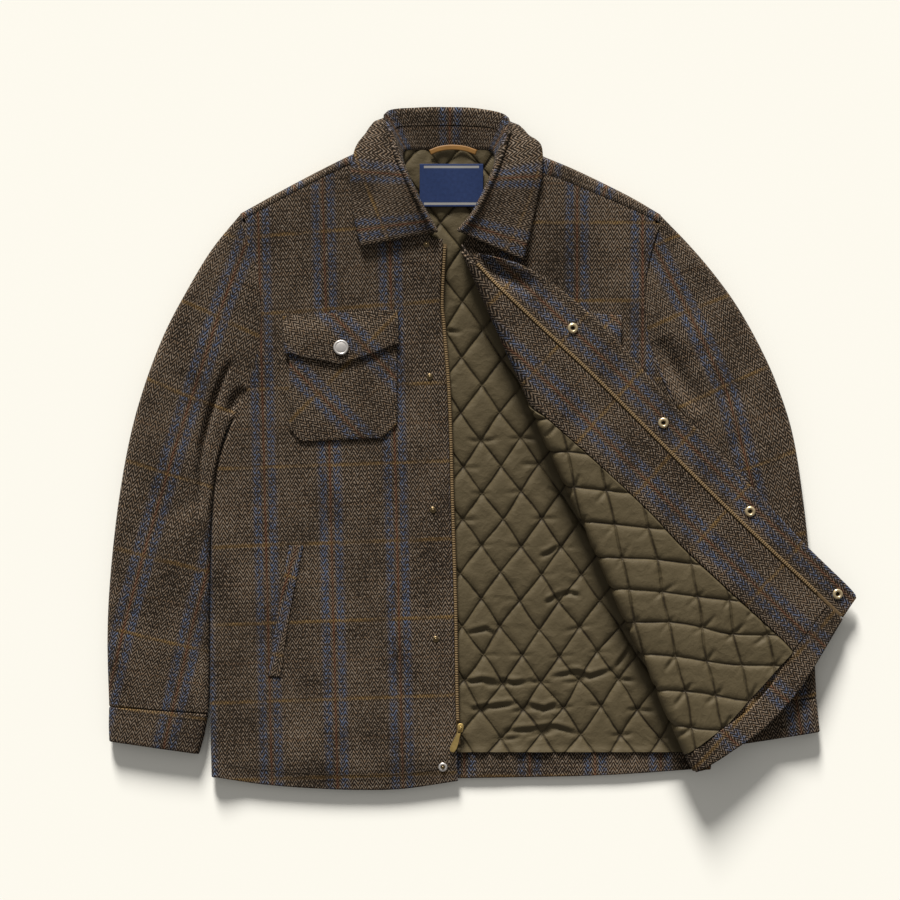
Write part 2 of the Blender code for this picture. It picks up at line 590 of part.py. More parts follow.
def add_yoke(name, rows):
    """A shoulder piece: a strip in front, rolled over the shoulder and down the back to its seam."""
    rows = spread(rows, YOKE_ROWS)
    edge, way, forward = rows[:, :2], rows[:, 2:4] - rows[:, :2], rows[:, 4:]
    deep = np.linalg.norm(way, axis=1, keepdims=True)
    way = way / deep
    turn = np.linspace(0, math.pi, ROLL_STEPS + 1)[None, :]
    rolled = ROLL_REACH - SIDE_ROLL * np.sin(turn)
    share = np.linspace(0, 1, 4)[None, :]
    front = forward + (ROLL_REACH - forward) * share[:, :-1]
    behind = ROLL_REACH + (deep - ROLL_REACH) * share[:, 1:]
    inward = np.concatenate((front, np.repeat(rolled, YOKE_ROWS, axis=0), behind), axis=1)
    fall = FRONT_Z - SIDE_ROLL * (1 - np.cos(turn))
    height = np.concatenate((np.full(3, FRONT_Z), fall[0], np.full(3, FLOOR_MID)))[None, :]
    plan = edge[:, None] + way[:, None] * inward[..., None]
    upper = (height - FLOOR_MID) / (FRONT_Z - FLOOR_MID)
    low, high = neck_lift(plan[..., 0], plan[..., 1]), upper_lift(plan[..., 0], plan[..., 1])
    lift = low + (high - low) * upper
    add_body(name, grid_body(*thicken(faces_up(plan, height + lift), WOOL)))


def flat_tube(rows, inset):
    """Rings of a flattened tube: round at both edges, flat above and below."""
    outer, inner, high, bow = rows[:, :2], rows[:, 2:4], rows[:, 4:5], rows[:, 5:6]
    wide = np.linalg.norm(inner - outer, axis=1, keepdims=True)
    radius = high / 2
    bend = np.linspace(-math.pi / 2, math.pi / 2, END_STEPS + 1)[None, :]
    level = np.linspace(0, 1, FLAT_STEPS + 1)[None, 1:-1]
    near = radius - (radius - inset) * np.cos(bend)
    run = radius + (wide - 2 * radius) * level
    across = np.concatenate((near, run, (wide - near)[:, ::-1], run[:, ::-1]), axis=1)
    rise = radius + (radius - inset) * np.sin(bend)
    flat = np.ones_like(run)
    height = np.concatenate((rise, flat * (high - inset), rise[:, ::-1], flat * inset), axis=1)
    share = across / wide
    plan = outer[:, None] + (inner - outer)[:, None] * share[..., None]
    plan[..., 0] += bow * 4 * share * (1 - share)
    ring = faces_up(plan, height)
    return np.concatenate((ring, ring[:, :1]), axis=1)


def add_tube(name, rows, count):
    rows = spread(rows, count)
    add_body(name, grid_body(flat_tube(rows, 0.0), flat_tube(rows, SLEEVE_WALL), closed=True))


def collar_grid():
    """The collar's middle surface: neck seam, up the stand, over the roll, down the fall to its edge."""
    rows = spread(COLLAR, COLLAR_ROWS)
    neck, roll, edge = rows[:, 0:3], rows[:, 3:6], rows[:, 6:9]
    turn = np.radians(rows[:, 9:10])
    out = (edge - roll) * np.array((1, 1, 0))
    out = out / np.linalg.norm(out, axis=1, keepdims=True)
    over = roll + 2 * COLLAR_ROLL * (np.cos(turn) * out - np.sin(turn) * np.array((0, 0, 1)))
    rise = (roll - neck) / np.linalg.norm(roll - neck, axis=1, keepdims=True)
    crest = (roll + over) / 2 + COLLAR_ROLL * rise
    lines = np.stack((neck, (neck + roll) / 2, roll, crest, over, (over + edge) / 2, edge), axis=1)
    return lines


def along_profile(lines, first, last, count):
    """Points between two places on each collar profile."""
    return np.array([spline(line, np.linspace(first, last, count)) for line in lines])


def add_collar():
    lines = collar_grid()
    stand = along_profile(lines, 0.0, STAND_SEAM - SEAM_PART, STAND_POINTS)
    fall = along_profile(lines, STAND_SEAM + SEAM_PART, 6.0, FALL_POINTS)
    add_body("collar_stand", grid_body(*thicken(stand, DOUBLED)))
    add_body("collar_fall", grid_body(*thicken(fall, DOUBLED)))


def on_front(plan, rise):
    """Points of a plan grid laid on the right front, moved out by the rise."""
    return faces_up(plan, front_z(plan[..., 0], plan[..., 1]) + WOOL / 2 + rise)


def patch(top, foot, rows, columns):
    top, foot = spread(top, columns), spread(foot, columns, smooth=False)
    return coons(foot, top, spread((foot[0], top[0]), rows), spread((foot[-1], top[-1]), rows))


def add_pockets():
    bag = patch(POCKET_TOP, POCKET_FOOT, 6, 9)
    add_body("pocket_right", grid_body(on_front(bag, REST_GAP + WOOL), on_front(bag, REST_GAP)))
    rows = 6
    rise = FLAP_SEAT + FLAP_RISE * ease(np.linspace(FLAP_LOOSE, 0, rows))[:, None]
    flap = patch(POCKET_FLAP_TOP, POCKET_FLAP_FOOT, rows, 9)
    add_body("pocket_flap_right", grid_body(on_front(flap, rise + WOOL), on_front(flap, rise)))
    flap = patch(POCKET_FLAP_LEFT_TOP, POCKET_FLAP_LEFT_FOOT, 4, 5)
    add_body("pocket_flap_left", grid_body(on_front(flap, REST_GAP + WOOL), on_front(flap, REST_GAP)))
    welt = np.stack((spread(WELT_OUTER, 8), spread(WELT_INNER, 8)), axis=1)
    add_body("welt_right", grid_body(on_front(welt, REST_GAP + WOOL), on_front(welt, REST_GAP)))


def zip_part(line, reach, low, high):
    return strip(beside(line, reach[0]), beside(line, reach[1]), low, high)


def under_front(body):
    """Lift a part laid for the flat cloth by what the right front is lifted."""
    return raise_points(body, upper_lift)


def between(line, heights, count):
    """The stretch of a plan line between two heights."""
    line = spread(line, 200)
    at = np.linspace(*heights, count)
    return np.column_stack((np.interp(at, line[:, 1], line[:, 0]), at))


def add_zip():
    low = FRONT_Z - WOOL / 2 - LAYER_GAP - TAPE
    tape = between(OPENING_RIGHT, ZIP_RIGHT_Y, 22)
    body = under_front(zip_part(tape, (-TAPE_IN, TAPE_OUT), low, low + TAPE))
    add_body("zip_tape_right", body, TAPE_TAN, "zip_tape")
    chain = between(OPENING_RIGHT, CHAIN_RIGHT_Y, 22)
    body = zip_part(chain, (CHAIN_FROM, CHAIN_TO), low + TAPE + REST_GAP, low + TAPE + REST_GAP + CHAIN)
    add_body("zip_chain_right", under_front(body), BRASS, "brass")
    seat = -(WOOL / 2 + LAYER_GAP)
    tape = between(ZIP_LEFT, ZIP_LEFT_Y, 22)
    body = zip_part(tape, (-TAPE_OUT, -CURVED_SEAM), seat - TAPE, seat)
    add_body("zip_tape_left", fold_back(body), TAPE_TAN, "zip_tape")
    body = zip_part(tape, (-CHAIN_TO, -CHAIN_FROM), seat - TAPE - REST_GAP - CHAIN, seat - TAPE - REST_GAP)
    add_body("zip_chain_left", fold_back(body), BRASS, "brass")


def add_slider():
    """The slider with its bail, and the pull that swings on it."""
    top = SLIDER_Z + SLIDER_SIZE[2]
    bpy.ops.mesh.primitive_cube_add(size=1.0, location=(SLIDER_AT[0] * MM, SLIDER_AT[1] * MM,
                                                        (SLIDER_Z + SLIDER_SIZE[2] / 2) * MM))
    block = bpy.context.object
    block.scale = [size * MM for size in SLIDER_SIZE]
    bpy.ops.object.transform_apply(location=False, rotation=False, scale=True)
    soften = block.modifiers.new("soften", "BEVEL")
    soften.width = 0.8 * MM
    soften.segments = 2
    hinge = Vector((SLIDER_AT[0] * MM, SLIDER_AT[1] * MM, (top + PULL_LIFT) * MM))
    wire = bpy.data.curves.new("bail", "CURVE")
    wire.dimensions = "3D"
    wire.bevel_depth = BAIL_BAR * MM
    wire.bevel_resolution = 1
    wire.use_fill_caps = True
    line = wire.splines.new("POLY")
    bends = np.linspace(0, math.pi, 9)
    middle, reach = sum(BAIL_REACH) / 2, (BAIL_REACH[1] - BAIL_REACH[0]) / 2
    rise = BAIL_TOP - BAIL_FOOT
    route = [(0, -(middle + reach * math.cos(bend)), BAIL_FOOT + rise * math.sin(bend)) for bend in bends]
    route = [(0, route[0][1], BAIL_ROOT), *route, (0, route[-1][1], BAIL_ROOT)]
    line.points.add(len(route) - 1)
    for point, place in zip(line.points, route):
        point.co = (*[value * MM for value in place], 1.0)
    bail = bpy.data.objects.new("bail", wire)
    cutters.objects.link(bail)
    bail.matrix_world = Matrix.Translation(hinge) @ Matrix.Rotation(PULL_TURN, 4, "Z")
    bpy.context.view_layer.update()
    turned = bail.matrix_world.copy()
    mesh = evaluated_mesh(bail)
    body = bmesh.new()
    body.from_mesh(mesh)
    bmesh.ops.remove_doubles(body, verts=body.verts, dist=WELD)
    body.to_mesh(mesh)
    body.free()
    bail = bpy.data.objects.new("bail", mesh)
    cutters.objects.link(bail)
    bail.matrix_world = turned
    join = block.modifiers.new("join", "BOOLEAN")
    join.operation = "UNION"
    join.object = bail
    bpy.context.view_layer.update()
    place = block.matrix_world.copy()
    mesh = evaluated_mesh(block)
    bpy.data.objects.remove(bail)
    slider = add_object("zip_slider", mesh, BRASS, "brass")
    slider.matrix_world = place
    angle = np.linspace(0, 2 * math.pi, PULL_STEPS + 1)
    along = 0.5 - 0.5 * np.cos(angle)
    wide = np.interp(along, (0, 0.35, 0.8, 1), (PULL_NARROW, PULL_NARROW, PULL_WIDE, PULL_WIDE))
    rim = np.column_stack((wide * np.sign(np.sin(angle)) * np.abs(np.sin(angle)) ** 0.5,
                           -(-1.0 + PULL_LENGTH * along)))
    eye_from, eye_to, eye_half = PULL_EYE
    eye = np.column_stack((eye_half * np.sign(np.sin(angle)) * np.abs(np.sin(angle)) ** 0.5,
                           -(eye_from + (eye_to - eye_from) * along)))
    plate = np.stack((rim, eye))
    body = grid_body(faces_up(plate, PULL_THICK / 2), faces_up(plate, -PULL_THICK / 2), closed=True)
    pull = add_body("zip_pull", body, BRASS, "brass")
    pull.location = hinge
    pull.rotation_euler = (0, 0, PULL_TURN)


def add_turned(name, profile, place, up, look, slot):
    """A turned metal piece standing on the place, its axis along up."""
    mesh = bpy.data.meshes.new(name)
    points = [(radius * MM, 0.0, height * MM) for radius, height in profile]
    mesh.from_pydata(points, [(step, step + 1) for step in range(len(points) - 1)], [])
    piece = add_object(name, mesh, look, slot)
    screw = piece.modifiers.new("turn", "SCREW")
    screw.steps = TURN_STEPS
    screw.render_steps = TURN_STEPS
    screw.use_merge_vertices = True
    screw.merge_threshold = WELD
    piece.rotation_euler = Vector((0, 0, 1)).rotation_difference(Vector(up)).to_euler()
    piece.location = Vector(place) * MM


def seat_on(near):
    """A spot on a surface and the way up from it, from the spot and two points beside it."""
    spot, right, ahead = near
    way = np.cross(right - spot, ahead - spot)
    return spot, way / np.linalg.norm(way) * np.sign(way[2])


def add_snaps():
    for number, (x, y) in enumerate(STUDS, 1):
        near = np.array([(x, y), (x + 1, y), (x, y + 1)], float)
        seat = seat_on(on_front(near[None], LAYER_GAP)[0])
        add_turned(f"snap_stud_{number}", STUD_PROFILE, *seat, BRASS, "brass")
    for number, (x, y) in enumerate(SOCKETS, 1):
        under = -(WOOL / 2 + LAYER_GAP)
        near = np.array([(x, y, under), (x + 1, y, under), (x, y + 1, under)])
        add_turned(f"snap_socket_{number}", SOCKET_PROFILE, *seat_on(turned_back(near)), BRASS, "brass")
    x, y = POCKET_SNAP
    seat = float(front_z(x, y)) + WOOL / 2 + FLAP_SEAT + FLAP_RISE + WOOL + REST_GAP
    add_turned("pocket_snap", CAP_PROFILE, (x, y, seat), (0, 0, 1), SILVER, "silver")


def add_neck_trim():
    left, right, low, high = LABEL
    foot = spread(((left, low), (right, low)), 4)
    top = spread(((left, high), (right, high)), 4)
    plan = coons(foot, top, spread((foot[0], top[0]), 4), spread((foot[-1], top[-1]), 4))
    height = LABEL_Z - OVER_NECK * NECK_LIFT + upper_lift(plan[..., 0], plan[..., 1])
    body = grid_body(faces_up(plan, height + LABEL_THICK), faces_up(plan, height))
    add_body("label", body, NAVY, "label")
    rows = spread(LOOP, 15)
    line, high = rows[:, :2], rows[:, 2:]
    body = strip(beside(line, -LOOP_WIDE / 2), beside(line, LOOP_WIDE / 2), high, high + LOOP_THICK)
    add_body("hanger_loop", body, LEATHER, "leather")


for leftover in list(bpy.data.objects):
    bpy.data.objects.remove(leftover)
jacket = bpy.data.collections.new("wool_jacket")
cutters = bpy.data.collections.new("cutters")
bpy.context.scene.collection.children.link(jacket)
bpy.context.scene.collection.children.link(cutters)

add_back()
add_yoke("yoke_right", YOKE_RIGHT)
add_yoke("yoke_left", YOKE_LEFT)
add_fronts()
add_left_trim()
add_tube("sleeve_right", SLEEVE_RIGHT, SLEEVE_ROWS)
add_tube("sleeve_left", SLEEVE_LEFT, SLEEVE_ROWS)
add_tube("cuff_right", CUFF_RIGHT, 4)
add_tube("cuff_left", CUFF_LEFT, 4)
add_collar()
add_pockets()
add_zip()
add_slider()
add_snaps()
add_neck_trim()
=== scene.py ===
"""Looks of a checked wool jacket that lies on its back, its left front folded open over a quilted lining.

Tables are in millimetres in the frame of the solids: X across, Y from hem to collar, Z up from the surface.
Right and left are the wearer's, so the right front is at -X.
"""
import math

import bpy
import numpy as np
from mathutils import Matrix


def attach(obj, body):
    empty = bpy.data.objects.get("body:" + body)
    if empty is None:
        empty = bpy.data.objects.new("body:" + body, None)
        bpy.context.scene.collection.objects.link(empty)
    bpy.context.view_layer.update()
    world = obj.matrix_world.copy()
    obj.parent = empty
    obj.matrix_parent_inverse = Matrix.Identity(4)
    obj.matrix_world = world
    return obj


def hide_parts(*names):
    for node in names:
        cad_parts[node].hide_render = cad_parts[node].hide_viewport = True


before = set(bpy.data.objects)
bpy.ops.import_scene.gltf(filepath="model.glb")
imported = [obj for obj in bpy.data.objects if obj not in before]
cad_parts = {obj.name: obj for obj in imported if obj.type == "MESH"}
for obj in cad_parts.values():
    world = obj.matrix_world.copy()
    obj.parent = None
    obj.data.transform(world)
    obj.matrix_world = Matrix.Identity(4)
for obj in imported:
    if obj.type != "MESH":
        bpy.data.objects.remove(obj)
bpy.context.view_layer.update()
MM = 0.001

# Cloth and layers
WOOL = 2.5
SEAM = 0.4
SEAM_RIM = 0.3
LAYER_GAP = 0.5
REST_GAP = 0.3
CURVED_SEAM = 1.3
ARMHOLE_SEAM = 0.8
ARMHOLE_END = 0.965
BACK_INSET = 9.0
DOUBLED = 4.0
SLEEVE_WALL = 3.0
FRONT_Z = 11.25
FLOOR_MID = WOOL / 2
SIDE_ROLL = (FRONT_Z - FLOOR_MID) / 2
ROLL_REACH = SIDE_ROLL + WOOL / 2
NECK = (-15.0, 360.0)
NECK_LIFT = 5.0
NECK_FULL = 80.0
NECK_NONE = 160.0
UPPER_FULL = 120.0
UPPER_NONE = 232.0
OVER_NECK = 1.2
HEM_DROP = 4.0
HEM_REACH = 33.0
SIDE_FADE = 40.0
UNDERARM_Y = 40.0

# Quilting
QUILT_NODE = (25.3, -115.7)
QUILT_HALF = (23.0, 31.5)
QUILT_LOW = 1.2
QUILT_PUFF = 3.2
QUILT_LEAST = 0.5
QUILT_IN_FOLD = 0.35
PUCKER_WIDE = 2.7
PUCKER_DEEP = 3.2
LINING_LIP = 2.2
HIDDEN_SHARE = 0.43
LIP_FADE = 140.0
SEAM_GROW = 60.0
SEAM_START = 0.4
DOME_POWER = 6
CRUMPLE = 0.13
CRUMPLE_FLAT = 0.7
CRUMPLE_X = (5.1, 2.1, 33)
CRUMPLE_Y = (7.3, 1.7, 41)
# Fullness of the diamonds: mean, swing, two steps
PUFF_UNEVEN = (0.86, 0.14, 2.4, 1.7)
# Uneven numbers for the crossings: two steps, size
SCATTER = (12.9898, 78.233, 43758.5453)
# Strength of a pucker: weight, less, more toward the hem, where that starts, its reach
PUCKER_STRONG = (1.5, 0.45, 0.4, -120.0, 160.0)
PUCKER_SHIFT = 16.0
PUCKER_REACH = (13.0, 9.0)
PUCKER_LEAN = 0.35
PUCKER_BEND = (5.0, 0.3)
# Pull of the sewing: least, more toward the hem, where that starts, its reach
SEWN_GROW = (0.8, 0.6, -130.0, 190.0)

# Crossed sines: x length, y length, phase, weight
WAVES = ((47, 71, 0.4, 1.0), (-83, 39, 1.9, 1.0), (29, -113, 2.7, 0.7), (57, 21, 0.0, 0.5))
WAVE_HIGH = 0.24
SEWN_SIDEWAYS = ((53, 31, 0.0, 1.7), (-37, 13, 0.0, 1.0))
SEWN_UPWARD = ((29, -61, 1.0, 1.9), (15, 41, 0.0, 1.1))
SLEEVE_WAVES = ((52, 31, 0.0, 0.4), (-23, 17, 0.0, 0.32))
SLEEVE_SINK = 0.6
UPPER_FROM = 0.8
LABEL_WAVES = ((9, 14, 0.0, 0.25),)
# Ripple of the back's hem: height, two lengths
HEM_RIPPLE = (0.25, 17, 43)

# Fold of the left front
FOLD_FROM = np.array((3.9, 248.2))
FOLD_TO = np.array((280.1, -371.9))
FOLD_R = 6.5
FOLD_RISE = 5.25
FOLD_RISE_REACH = 60.0
FLAP_SETTLE = 6.5
FLAP_SETTLE_REACH = 90.0
FLAP_DROOP = 11.0
DROOP_FROM = 395.0
DROOP_REACH = 70.0
UNDER_FOLD = 2.0
FACING_LOW = -(1.5 * WOOL + LAYER_GAP)
FACING_HIGH = -(WOOL / 2 + LAYER_GAP)
# Roll and hollow at the top of the turned flap: x, y along the line; half width, depth
FLAP_ROLLS = ((((-24, 250), (40, 224), (100, 196)), 9, -4.0),
              (((-10, 228), (36, 207), (86, 182)), 10, 7.0))
FLAP_ROLL_REACH = 14.0
FOLD_LONG = (FOLD_TO - FOLD_FROM) / np.linalg.norm(FOLD_TO - FOLD_FROM)
FOLD_ACROSS = np.array((-FOLD_LONG[1], FOLD_LONG[0]))

# Edge lines: x, y
HEM_RIGHT = ((-290, -384), (-240, -392), (-187, -396.5), (-128.5, -399), (-70, -398), (-2.5, -388.5))
SIDE_RIGHT = ((-290, -384), (-292, -295), (-292, -178), (-290, -84), (-284.5, -20), (-270.5, 24.5))
ARMHOLE_RIGHT = ((-270.5, 24.5), (-261, 271.5), 33.0)
OPENING_RIGHT = ((-2.5, -388.5), (-6, -295), (-8, -178), (-11.5, -61), (-15, 56), (-21, 138), (-23.5, 173),
                 (-20, 243.5))
NECK_RIGHT = ((-79, 351), (-70, 331), (-63.5, 312), (-54, 288), (-43.5, 266), (-34.5, 246), (-20, 243.5))
HEM_LEFT = ((292.5, -374.5), (255, -383.5), (219.5, -394), (181, -403), (130.5, -405), (79, -398),
            (22.5, -388))
SIDE_LEFT = ((292.5, -374.5), (295, -295), (294.5, -178), (291.5, -84), (284.5, -20), (269, 23.5))
ARMHOLE_LEFT = ((269, 23.5), (238.5, 270.5), -36.0)
ZIP_LEFT = ((22.5, -388), (18.5, -203), (12, -67.5), (7.5, 22.5), (6, 116), (4, 180), (-2, 234))
NECK_LEFT = ((65, 346), (46, 331), (39.5, 312), (29.5, 288), (18, 264), (9, 246), (-2, 234))
PLACKET_EDGE = ((-3, -384), (-10, -374), (-13, -292), (-22, -195), (-30.5, -80.5), (-43, 35), (-43, 113.5),
                (-33, 167), (-11, 210.5))
PLACKET_FOOT = (20.8, -387.0)
PLACKET_TOP = (-2.5, 216.0)
PLACKET_CORNER = 0.02
FACING_START = 12.0
FACING_TOP_Y = 226.0
HEM_END = 676.0
HEM_CORNER = (22.5, -386.5)
FACING_SEAM = ((89, -369), (87, -345), (86.5, -267.5), (85, -191), (80, -134.5), (78.5, -43), (80, 89))
HEM_STRIP_LEFT = ((277, -353), (240, -362), (211.5, -367.5), (175.5, -375), (138, -376), (89, -369),
                  (22, -364))
BACK_HEM = ((-281, -383.5), (-187, -389), (-3.5, -386), (164, -382.5), (283.5, -375))
BACK_STRIP_Y = -355.5
BACK_STRIP_X = (-277.0, 279.0)
BACK_NECK = (-15.0, 344.0)
SHOULDER_EASE = 12.0
LINING_RIGHT_SIDE = ((-277, -355), (-278, -178), (-275, -84), (-262, 10), (-230, 60), (-222, 150),
                     (-230, 218), (-128, 299), (-76, 338), (-62, 347.4))
LINING_LEFT_SIDE = ((279, -355), (280, -178), (277, -84), (258, 8), (208, 60), (196, 150), (208, 218),
                    (92, 304), (46, 338), (32, 347.4))
# Creases of the back lining that run level: x, y along the line; half width, depth
LINING_CREASES = ((((7.5, -217.2), (31.2, -211.7), (40.2, -218.9)), 2.5, 3.2),
                  (((7.5, -275.3), (23.9, -271.7), (44, -273.5)), 2.6, 3.4),
                  (((45.6, -271.4), (62, -276.1), (78.4, -273.8)), 2.5, 3.2),
                  (((105.9, -267.9), (136.8, -262.7), (151.3, -267.9), (180.4, -258.9)), 2.7, 3.9),
                  (((11.2, -306.3), (38.5, -302.7), (67.6, -299.1)), 2.5, 3.6),
                  (((76.8, -299.1), (96.8, -306.3), (114.9, -299.1)), 2.7, 3.7),
                  (((49.4, -331.8), (82.1, -329.9), (111.3, -326.3), (140.4, -335.4)), 2.7, 3.7),
                  (((118.5, -171.6), (128.7, -169.7), (140.4, -173.4)), 2.4, 3.0),
                  (((98.3, -181.4), (108.8, -176.7), (118.2, -170.8)), 2.4, 3.0),
                  (((93.6, -127.5), (104.1, -122.9), (113.5, -115.8)), 2.4, 2.8),
                  (((180.4, -258.9), (191.9, -242.2), (202.4, -225.8)), 2.7, 3.7))
CREASE_RIDGE = 0.45
RIDGE_ABOVE = np.array((0.0, 6.0))

# Shoulders: edge_x, edge_y, back_x, back_y, forward
YOKE_RIGHT = ((-257, 273.4, -241.5, 226, 8), (-199, 305.5, -186, 268, 9), (-137, 337, -130, 309, 10),
              (-84, 360.5, -76, 346, 10))
YOKE_LEFT = ((234.5, 272.4, 217.5, 226, 9), (195.5, 295, 180, 258, 13), (138, 323, 131, 290, 17),
             (98.5, 339.5, 92, 317, 18), (58, 357.5, 50, 344, 12))

# Sleeves, armhole to cuff: outer_x, outer_y, inner_x, inner_y, height, bow
SLEEVE_RIGHT = ((-256.3, 273.2, -270.2, 24.5, 12.5, 32.5), (-290, 231.5, -275, 13, 15, 20),
                (-319.5, 182.5, -280, -4.5, 17, 9), (-345, 133.5, -284.8, -28, 18, 2),
                (-367.5, 75, -288.4, -57.5, 18.5, 0), (-385, 13, -290.6, -92.5, 18.5, 0),
                (-399, -66.5, -291.6, -139, 18.5, 0), (-408.5, -154.5, -292, -195.5, 18, 0),
                (-411.5, -224.5, -292.1, -248, 17.5, 0), (-409.5, -301, -293.4, -309.5, 17, 0))
CUFF_RIGHT = ((-409.5, -301.8, -293.5, -310.3, 17, 0), (-410, -322, -298, -334, 17, 0),
              (-409.5, -342, -304.5, -357, 15.5, 0))
SLEEVE_LEFT = ((233.8, 272.2, 269, 23.5, 12.5, -35.5), (268, 236.5, 274.5, 11.5, 15, -21),
               (296, 203.5, 281, -6, 17, -9), (322, 167.5, 288, -29, 18, -2),
               (347.5, 123, 294.5, -58.5, 18.5, 0), (368.5, 77, 298.5, -93.5, 18.5, 0),
               (387.5, 18.5, 301, -140.5, 18.5, 0), (400, -57.5, 302.5, -196.5, 18, 0),
               (408.5, -142.5, 304, -248, 17.5, 0), (416, -291.5, 306.5, -299.5, 17, 0))
CUFF_LEFT = ((416, -292.3, 306.5, -300.3, 17, 0), (418, -312, 309.5, -324, 17, 0),
             (420, -331, 313.5, -347.5, 15.5, 0))
EDGE_POWER = 0.85
TOWARD_BODY = 1.6
ARMHOLE_STRETCH = (0.06, 1.01)
ARMHOLE_UNDER = 8.2
# Creases pressed into a sleeve: x, y along the line; half width, depth
CREASE_FADE = 0.6
CREASES_RIGHT = ((((-266, 102), (-274, 86), (-286.5, 54), (-295, 25), (-300.5, 1), (-302, -28),
                   (-302.5, -80)), 4.4, 9.0),
                 (((-252, 70), (-262, 56), (-271, 38)), 5.5, 6.5),
                 (((-296, -56), (-352, -84)), 10, 1.6), (((-300, 66), (-345, 94)), 10, 1.6),
                 (((-390, -30), (-350, -60)), 12, 1.2), (((-330, 128), (-290, 150)), 12, 1.2))
CREASES_LEFT = ((((234, 128), (246, 100), (262, 72), (284, 44)), 12, 7.5), (((262, 96), (306, 124)), 11, 1.6),
                (((296, -8), (356, 12)), 11, 1.4), (((300, 60), (345, 66)), 12, 1.2))

# Collar, right end to left end: neck x, y, z; roll x, y, z; edge x, y, z; turn
COLLAR = ((-26.9, 251, 15, -33.9, 257.4, 24, -114.7, 234, 24, 0),
          (-37.4, 269.1, 16, -45.6, 279.6, 28, -121.7, 259.7, 23, 0),
          (-49.1, 290.2, 17, -57.3, 303, 30, -126.4, 290.2, 22, 0),
          (-59.7, 313.6, 17, -67.9, 326.4, 30, -127.5, 319.4, 24, 5),
          (-66.7, 332.3, 16, -76, 348.7, 27, -122, 349, 19, 20),
          (-65.5, 345, 13.5, -81.5, 371, 22, -110.5, 366, 10, 38),
          (-60, 347.5, 11.5, -81, 388.5, 18, -95.5, 379.5, 6, 52),
          (-42, 347.5, 10.5, -49.1, 391.5, 16.5, -58, 352, 3, 90),
          (-15.2, 347.5, 10.5, -15.2, 392, 16.5, -15.2, 337, 2.9, 90),
          (13, 347.5, 10.5, 20, 390.5, 16.5, 30, 352, 3, 90),
          (32, 347.5, 11.5, 48.5, 384.5, 18, 64, 375.5, 6, 52),
          (38.6, 345, 13.5, 53.5, 369, 22, 81, 363.5, 10, 38),
          (41, 332.3, 16, 50.3, 348.7, 27, 94.8, 351.5, 19, 20),
          (35.1, 313.6, 17, 44.5, 326.4, 30, 95.5, 319.4, 24, 5),
          (24.6, 290.2, 17, 32.8, 301.9, 30, 88.9, 284.3, 22, 0),
          (12.9, 269.5, 16, 19.9, 280, 28, 81.9, 250.4, 23, 0),
          (-2.3, 252, 16, 4.7, 258, 25, 73.7, 217.6, 24, 0))
COLLAR_ROLL = 3.2
COLLAR_LONG = 420.0
COLLAR_STRIPE = 15.5
STAND_SEAM = 1.25
ROLL_IN = 1.0
LEAF_TURN = 42.0
LEAF_END = 20.0
BACK_STRIPE = 157.5
CREST = 2.6
SEAM_PART = 0.022
COLLAR_EDGE = 6.0

# Pockets
POCKET_TOP = ((-199, 135.5), (-73.5, 138))
POCKET_FOOT = ((-199, 23), (-185, 7), (-91.5, 11.5), (-73.5, 28))
POCKET_FLAP_TOP = ((-207, 153.5), (-72.5, 161.5))
POCKET_FLAP_FOOT = ((-205, 111), (-138.5, 97), (-71.5, 121.5))
POCKET_FLAP_LEFT_TOP = ((134.5, 158), (188.5, 154.5))
POCKET_FLAP_LEFT_FOOT = ((134.5, 104), (164, 99.5), (187, 106.5))
WELT_OUTER = ((-224, -265.5), (-217.5, -230), (-210, -178), (-199, -113.5))
WELT_INNER = ((-209, -267), (-204, -230), (-196, -180), (-182.5, -114))
WELT = 1.3
FLAP_SEAT = 0.8
FLAP_RISE = 2.9
FLAP_LOOSE = 2.4
FLAP_LEFT_RISE = (1.7, 0.5)
BIAS = math.radians(-45)
WELT_SEAT = 0.1
WELT_BIAS = 0.3

# Zip and snaps
TAPE = 1.3
TAPE_RIGHT = (-9.0, -8.2, -6.5, -2.0, 2.5, 4.2, 5.0)
TAPE_LEFT = (-3.4, -2.9, -1.9, -0.6, 0.4, 0.9, 1.3, 3.0, 6.8, 7.6)
TAPE_CLEAR = 0.07
TAPE_SINKS = (0.4, 1.3)
CHAIN_FROM = 1.1
CHAIN_TO = 4.3
CHAIN_LEFT = (-0.7, -3.1)
CHAIN = 2.2
TOOTH_PITCH = 2.7
TOOTH_LONG = 1.7
TOOTH_NECK = 0.3
TOOTH_TIP = 0.6
TOOTH_LENGTHS = (0.75, 1.0, 0.9, 0.5)
TOOTH_HEIGHTS = (0.8, 1.0, 1.0, 0.6)
TOOTH_CORNERS = ((-1, -0.7), (-0.7, -1), (0.7, -1), (1, -0.7), (1, 0.7), (0.7, 1), (-0.7, 1), (-1, 0.7))
ZIP_RIGHT_Y = (-346.0, 238.0)
CHAIN_RIGHT_Y = (-319.5, 236.0)
ZIP_LEFT_Y = (-384.0, 205.0)
CHAIN_LEFT_Y = (-344.0, 205.0)
STUDS = ((-39.2, 237), (-35.1, 83), (-31.5, -72.2), (-28.3, -222.8), (-20, -372))
SOCKETS = ((-18.7, 72.5), (-7.4, -79.3), (1.8, -223), (4.8, -363.7))
POCKET_SNAP = (-138.5, 117)
SNAP_CLEAR = 0.05
AXIS_CLEAR = 0.02
TURNED = 36
STUD_PROFILE = ((0, 2.7), (0.9, 2.6), (1.6, 2.1), (1.8, 1.5), (1.7, 1.0), (2.4, 0.9), (3.2, 0.75),
                (3.6, 0.4), (3.5, 0), (0, 0))
RING_PROFILE = ((2.3, 0.5), (2.6, 0.9), (3.2, 1.25), (4.0, 1.2), (4.8, 0.9), (5.2, 0.45), (5.1, 0), (2.3, 0))
